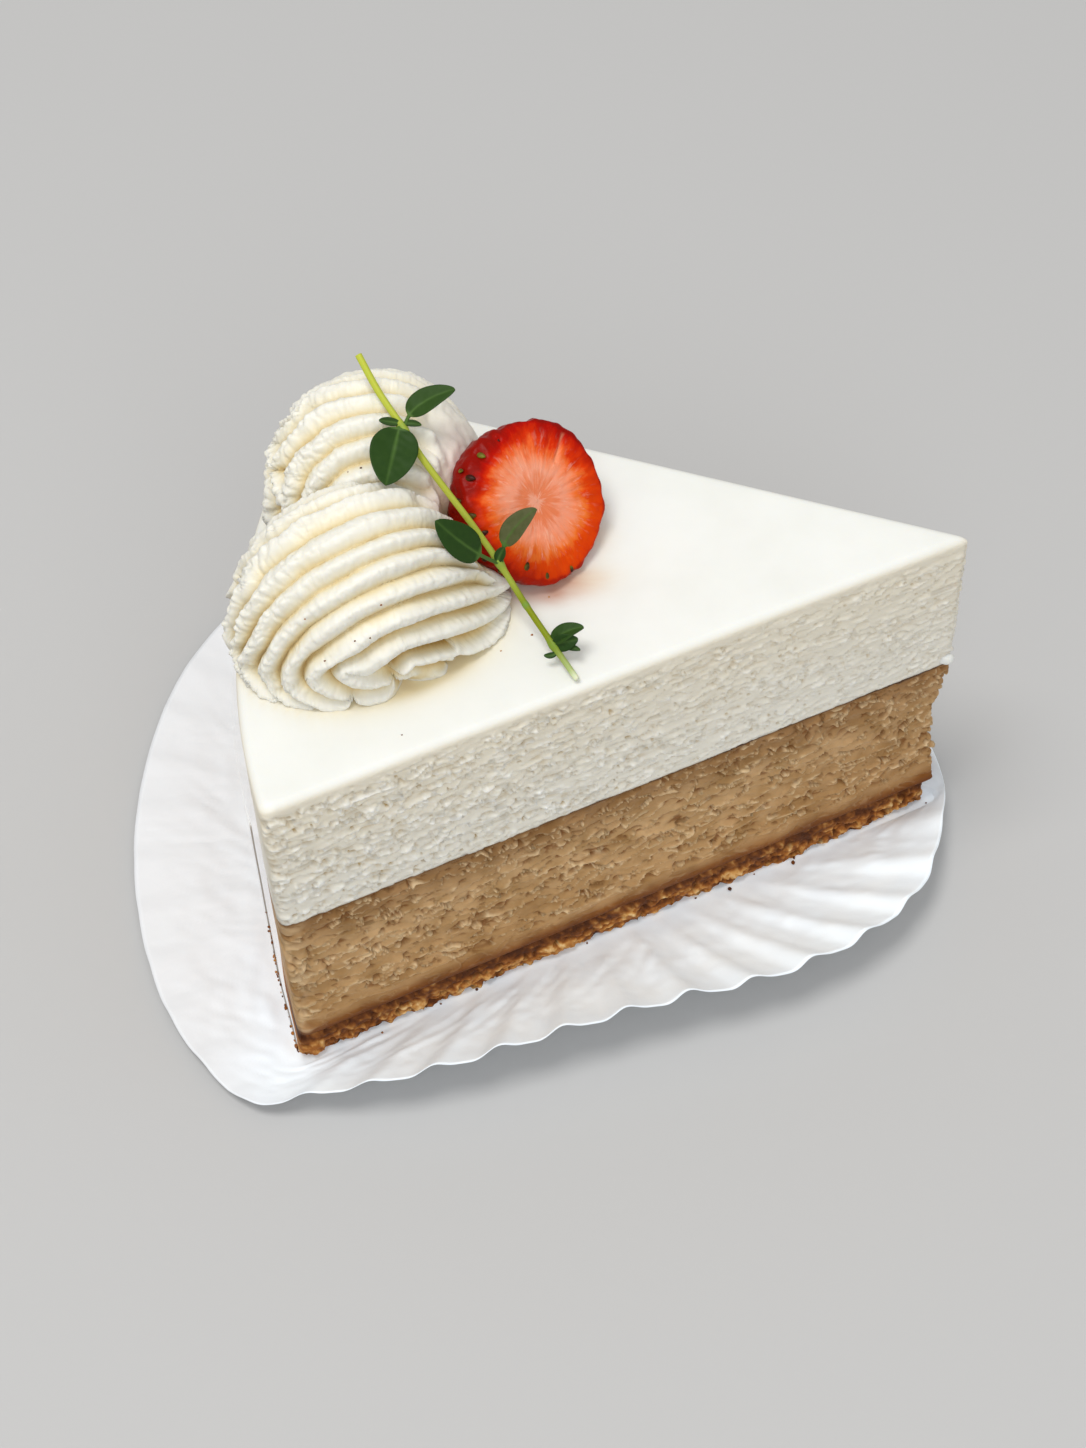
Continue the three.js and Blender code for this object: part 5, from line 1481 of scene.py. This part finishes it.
def buildCrumbs(material):
    draw = np.random.default_rng(crumbs["seed"])
    parts = []
    low, high = crumbs["size"]
    frontColumns = np.nonzero(outlineRun == 0)[0]
    backColumns = np.nonzero(outlineRun == 4)[0]
    for k in range(crumbs["count"]):
        size = low + (high - low) * draw.random() ** 2
        column = draw.choice(frontColumns if k % 3 else backColumns)
        away = crumbs["away"][0] + crumbs["away"][1] * draw.random() ** 3
        flat = outline[column] + outlineNormals[column] * away
        parts.append(crumbMesh((*flat, size * 0.5 + 0.05 + 0.3 * max(0, away - 0.7)), size, k))
    _, front, _, centre, radius = sliceCorners()
    filmWay = unit(front - centre)
    for k in range(crumbs["onFilm"]):  # crumbs dragged up the film's front end
        height = crumbs["filmFrom"] + crumbs["filmUp"] * draw.random() ** 1.2
        out = film["gap"] + filmLift(height) + film["thick"] * (0.5 + 0.9 * draw.random())
        inwards = np.array([-filmWay[1], filmWay[0]]) * (crumbs["filmIn"] * draw.random() ** 2)
        flat = centre + filmWay * (radius + out) + inwards
        size = crumbs["filmSize"][0] + crumbs["filmSize"][1] * draw.random() ** 2
        parts.append(crumbMesh((*flat, height), size, 100 + k, crumbs["filmTall"]))
    start = Vector(toPart(studio["camera"]))
    for name, pixels in specks.items():
        for k, way in enumerate(viewRays(pixels)):
            found, place, _, _ = bpy.data.objects[name].ray_cast(start, Vector(way))
            if found:
                size = crumbs["speckSize"][0] + crumbs["speckSize"][1] * draw.random()
                parts.append(crumbMesh(np.array(place) * 1000 - sliceOrigin, size, 200 + k))
    toast = np.repeat(draw.random(len(parts)) * 0.55, len(parts[0][0]))
    addPiece("biscuitCrumbs", *joined(parts), material, "biscuit", values={"toast": toast, "gap": toast * 0})


# Studio

studio = {"camera": (-62.79, -235.17, 336.74), "forward": (0.0155, 0.6011, -0.7991),
          "up": (0.0597, 0.7972, 0.6008), "focalPixels": 2780.0, "imageMiddle": (543, 724),
          "imageHeight": 1448, "sensor": 36.0, "eggDistances": (300, 460, 3201),
          "floorColor": "#b7b6b5", "floorHalf": 3.0, "airColor": "#fbfbfa", "airStrength": 0.62,
          "aim": (0, 0, 0.03)}
# Lamps: place and width in metres, power and colour
lamps = {"keyOverhead": ((-0.28, -0.12, 1.2), 0.5, 7.3, "#fffffe"),
         "fillFront": ((0.1, -0.9, 0.9), 0.8, 4.6, "#f6faff")}


def buildStudio():
    scene = bpy.context.scene
    scene.view_settings.view_transform = "Standard"
    forward = Vector(studio["forward"]).normalized()
    right = forward.cross(Vector(studio["up"])).normalized()
    up = right.cross(forward)
    data = bpy.data.cameras.new("camera")
    data.sensor_width = studio["sensor"]
    data.lens = studio["focalPixels"] * studio["sensor"] / studio["imageHeight"]
    data.clip_start = 0.01
    camera = newObject("camera", data)
    turn = Matrix((right, up, -forward)).transposed().to_4x4()
    camera.matrix_world = Matrix.Translation(Vector(toPart(studio["camera"]))) @ turn
    scene.camera = camera

    paint = finishMaterial(newMaterial("paintedBoardPale"), {},  # painted board: flat pale grey, no pattern
                           {"Base Color": hexColor(studio["floorColor"]), "Roughness": 0.7})
    mesh = bpy.data.meshes.new("floor")
    half = studio["floorHalf"]
    corners = [(-half, -half, 0), (half, -half, 0), (half, half, 0), (-half, half, 0)]
    mesh.from_pydata(corners, [], [(0, 1, 2, 3)])
    mesh.materials.append(paint)
    newObject("floor", mesh)

    world = bpy.data.worlds.new("studio")
    scene.world = world
    world.use_nodes = True
    air = world.node_tree.nodes["Background"]
    air.inputs["Color"].default_value = hexColor(studio["airColor"])
    air.inputs["Strength"].default_value = studio["airStrength"]
    for name, (place, size, power, color) in lamps.items():
        light = bpy.data.lights.new(name, "AREA")
        light.shape = "DISK"
        light.size = size
        light.energy = power
        light.color = hexColor(color)[:3]
        lamp = newObject(name, light)
        lamp.location = place
        lamp.rotation_euler = (Vector(studio["aim"]) - Vector(place)).to_track_quat("-Z", "Y").to_euler()


buildStudio()
print("studio ready")
buildWhite()
buildBaked()
crumbMaterial = biscuitMaterial()
buildBiscuit(crumbMaterial)
print("slice cut")
cream = creamMaterial()
pressed = {"byBerry": 0.25, "byShell": 1.2}  # how far the cream still reaches into what presses on it
berryPoints, berryFaces = berrySurface(-pressed["byBerry"], around=64, faceRings=6, domeRings=16)
berryPoints = berryPlaced(berryPoints) + (0, 0, sliceTop)
berryCutter = newObject("berryCutter", newMesh("berryCutter", berryPoints, berryFaces))
buildShell("creamShellFront", "cream_shell_front", frontShell, cream, [berryCutter], tornFlap)
frontPoints, frontFaces = eggMesh(frontShell, eggGrid["cutterSteps"], -pressed["byShell"])
frontPoints[:, 2] = np.maximum(frontPoints[:, 2], -1) + sliceTop
frontCutter = newObject("frontCutter", newMesh("frontCutter", frontPoints, frontFaces))
buildShell("creamShellBack", "cream_shell_back", backShell, cream, [berryCutter, frontCutter], tornHollow)
for cutter in (berryCutter, frontCutter):
    bpy.data.objects.remove(cutter)
print("cream piped")
buildCrumbs(crumbMaterial)
buildBerry()
buildThyme()
print("garnish placed")
buildFilm()
buildLiner()
print("liner and film laid")
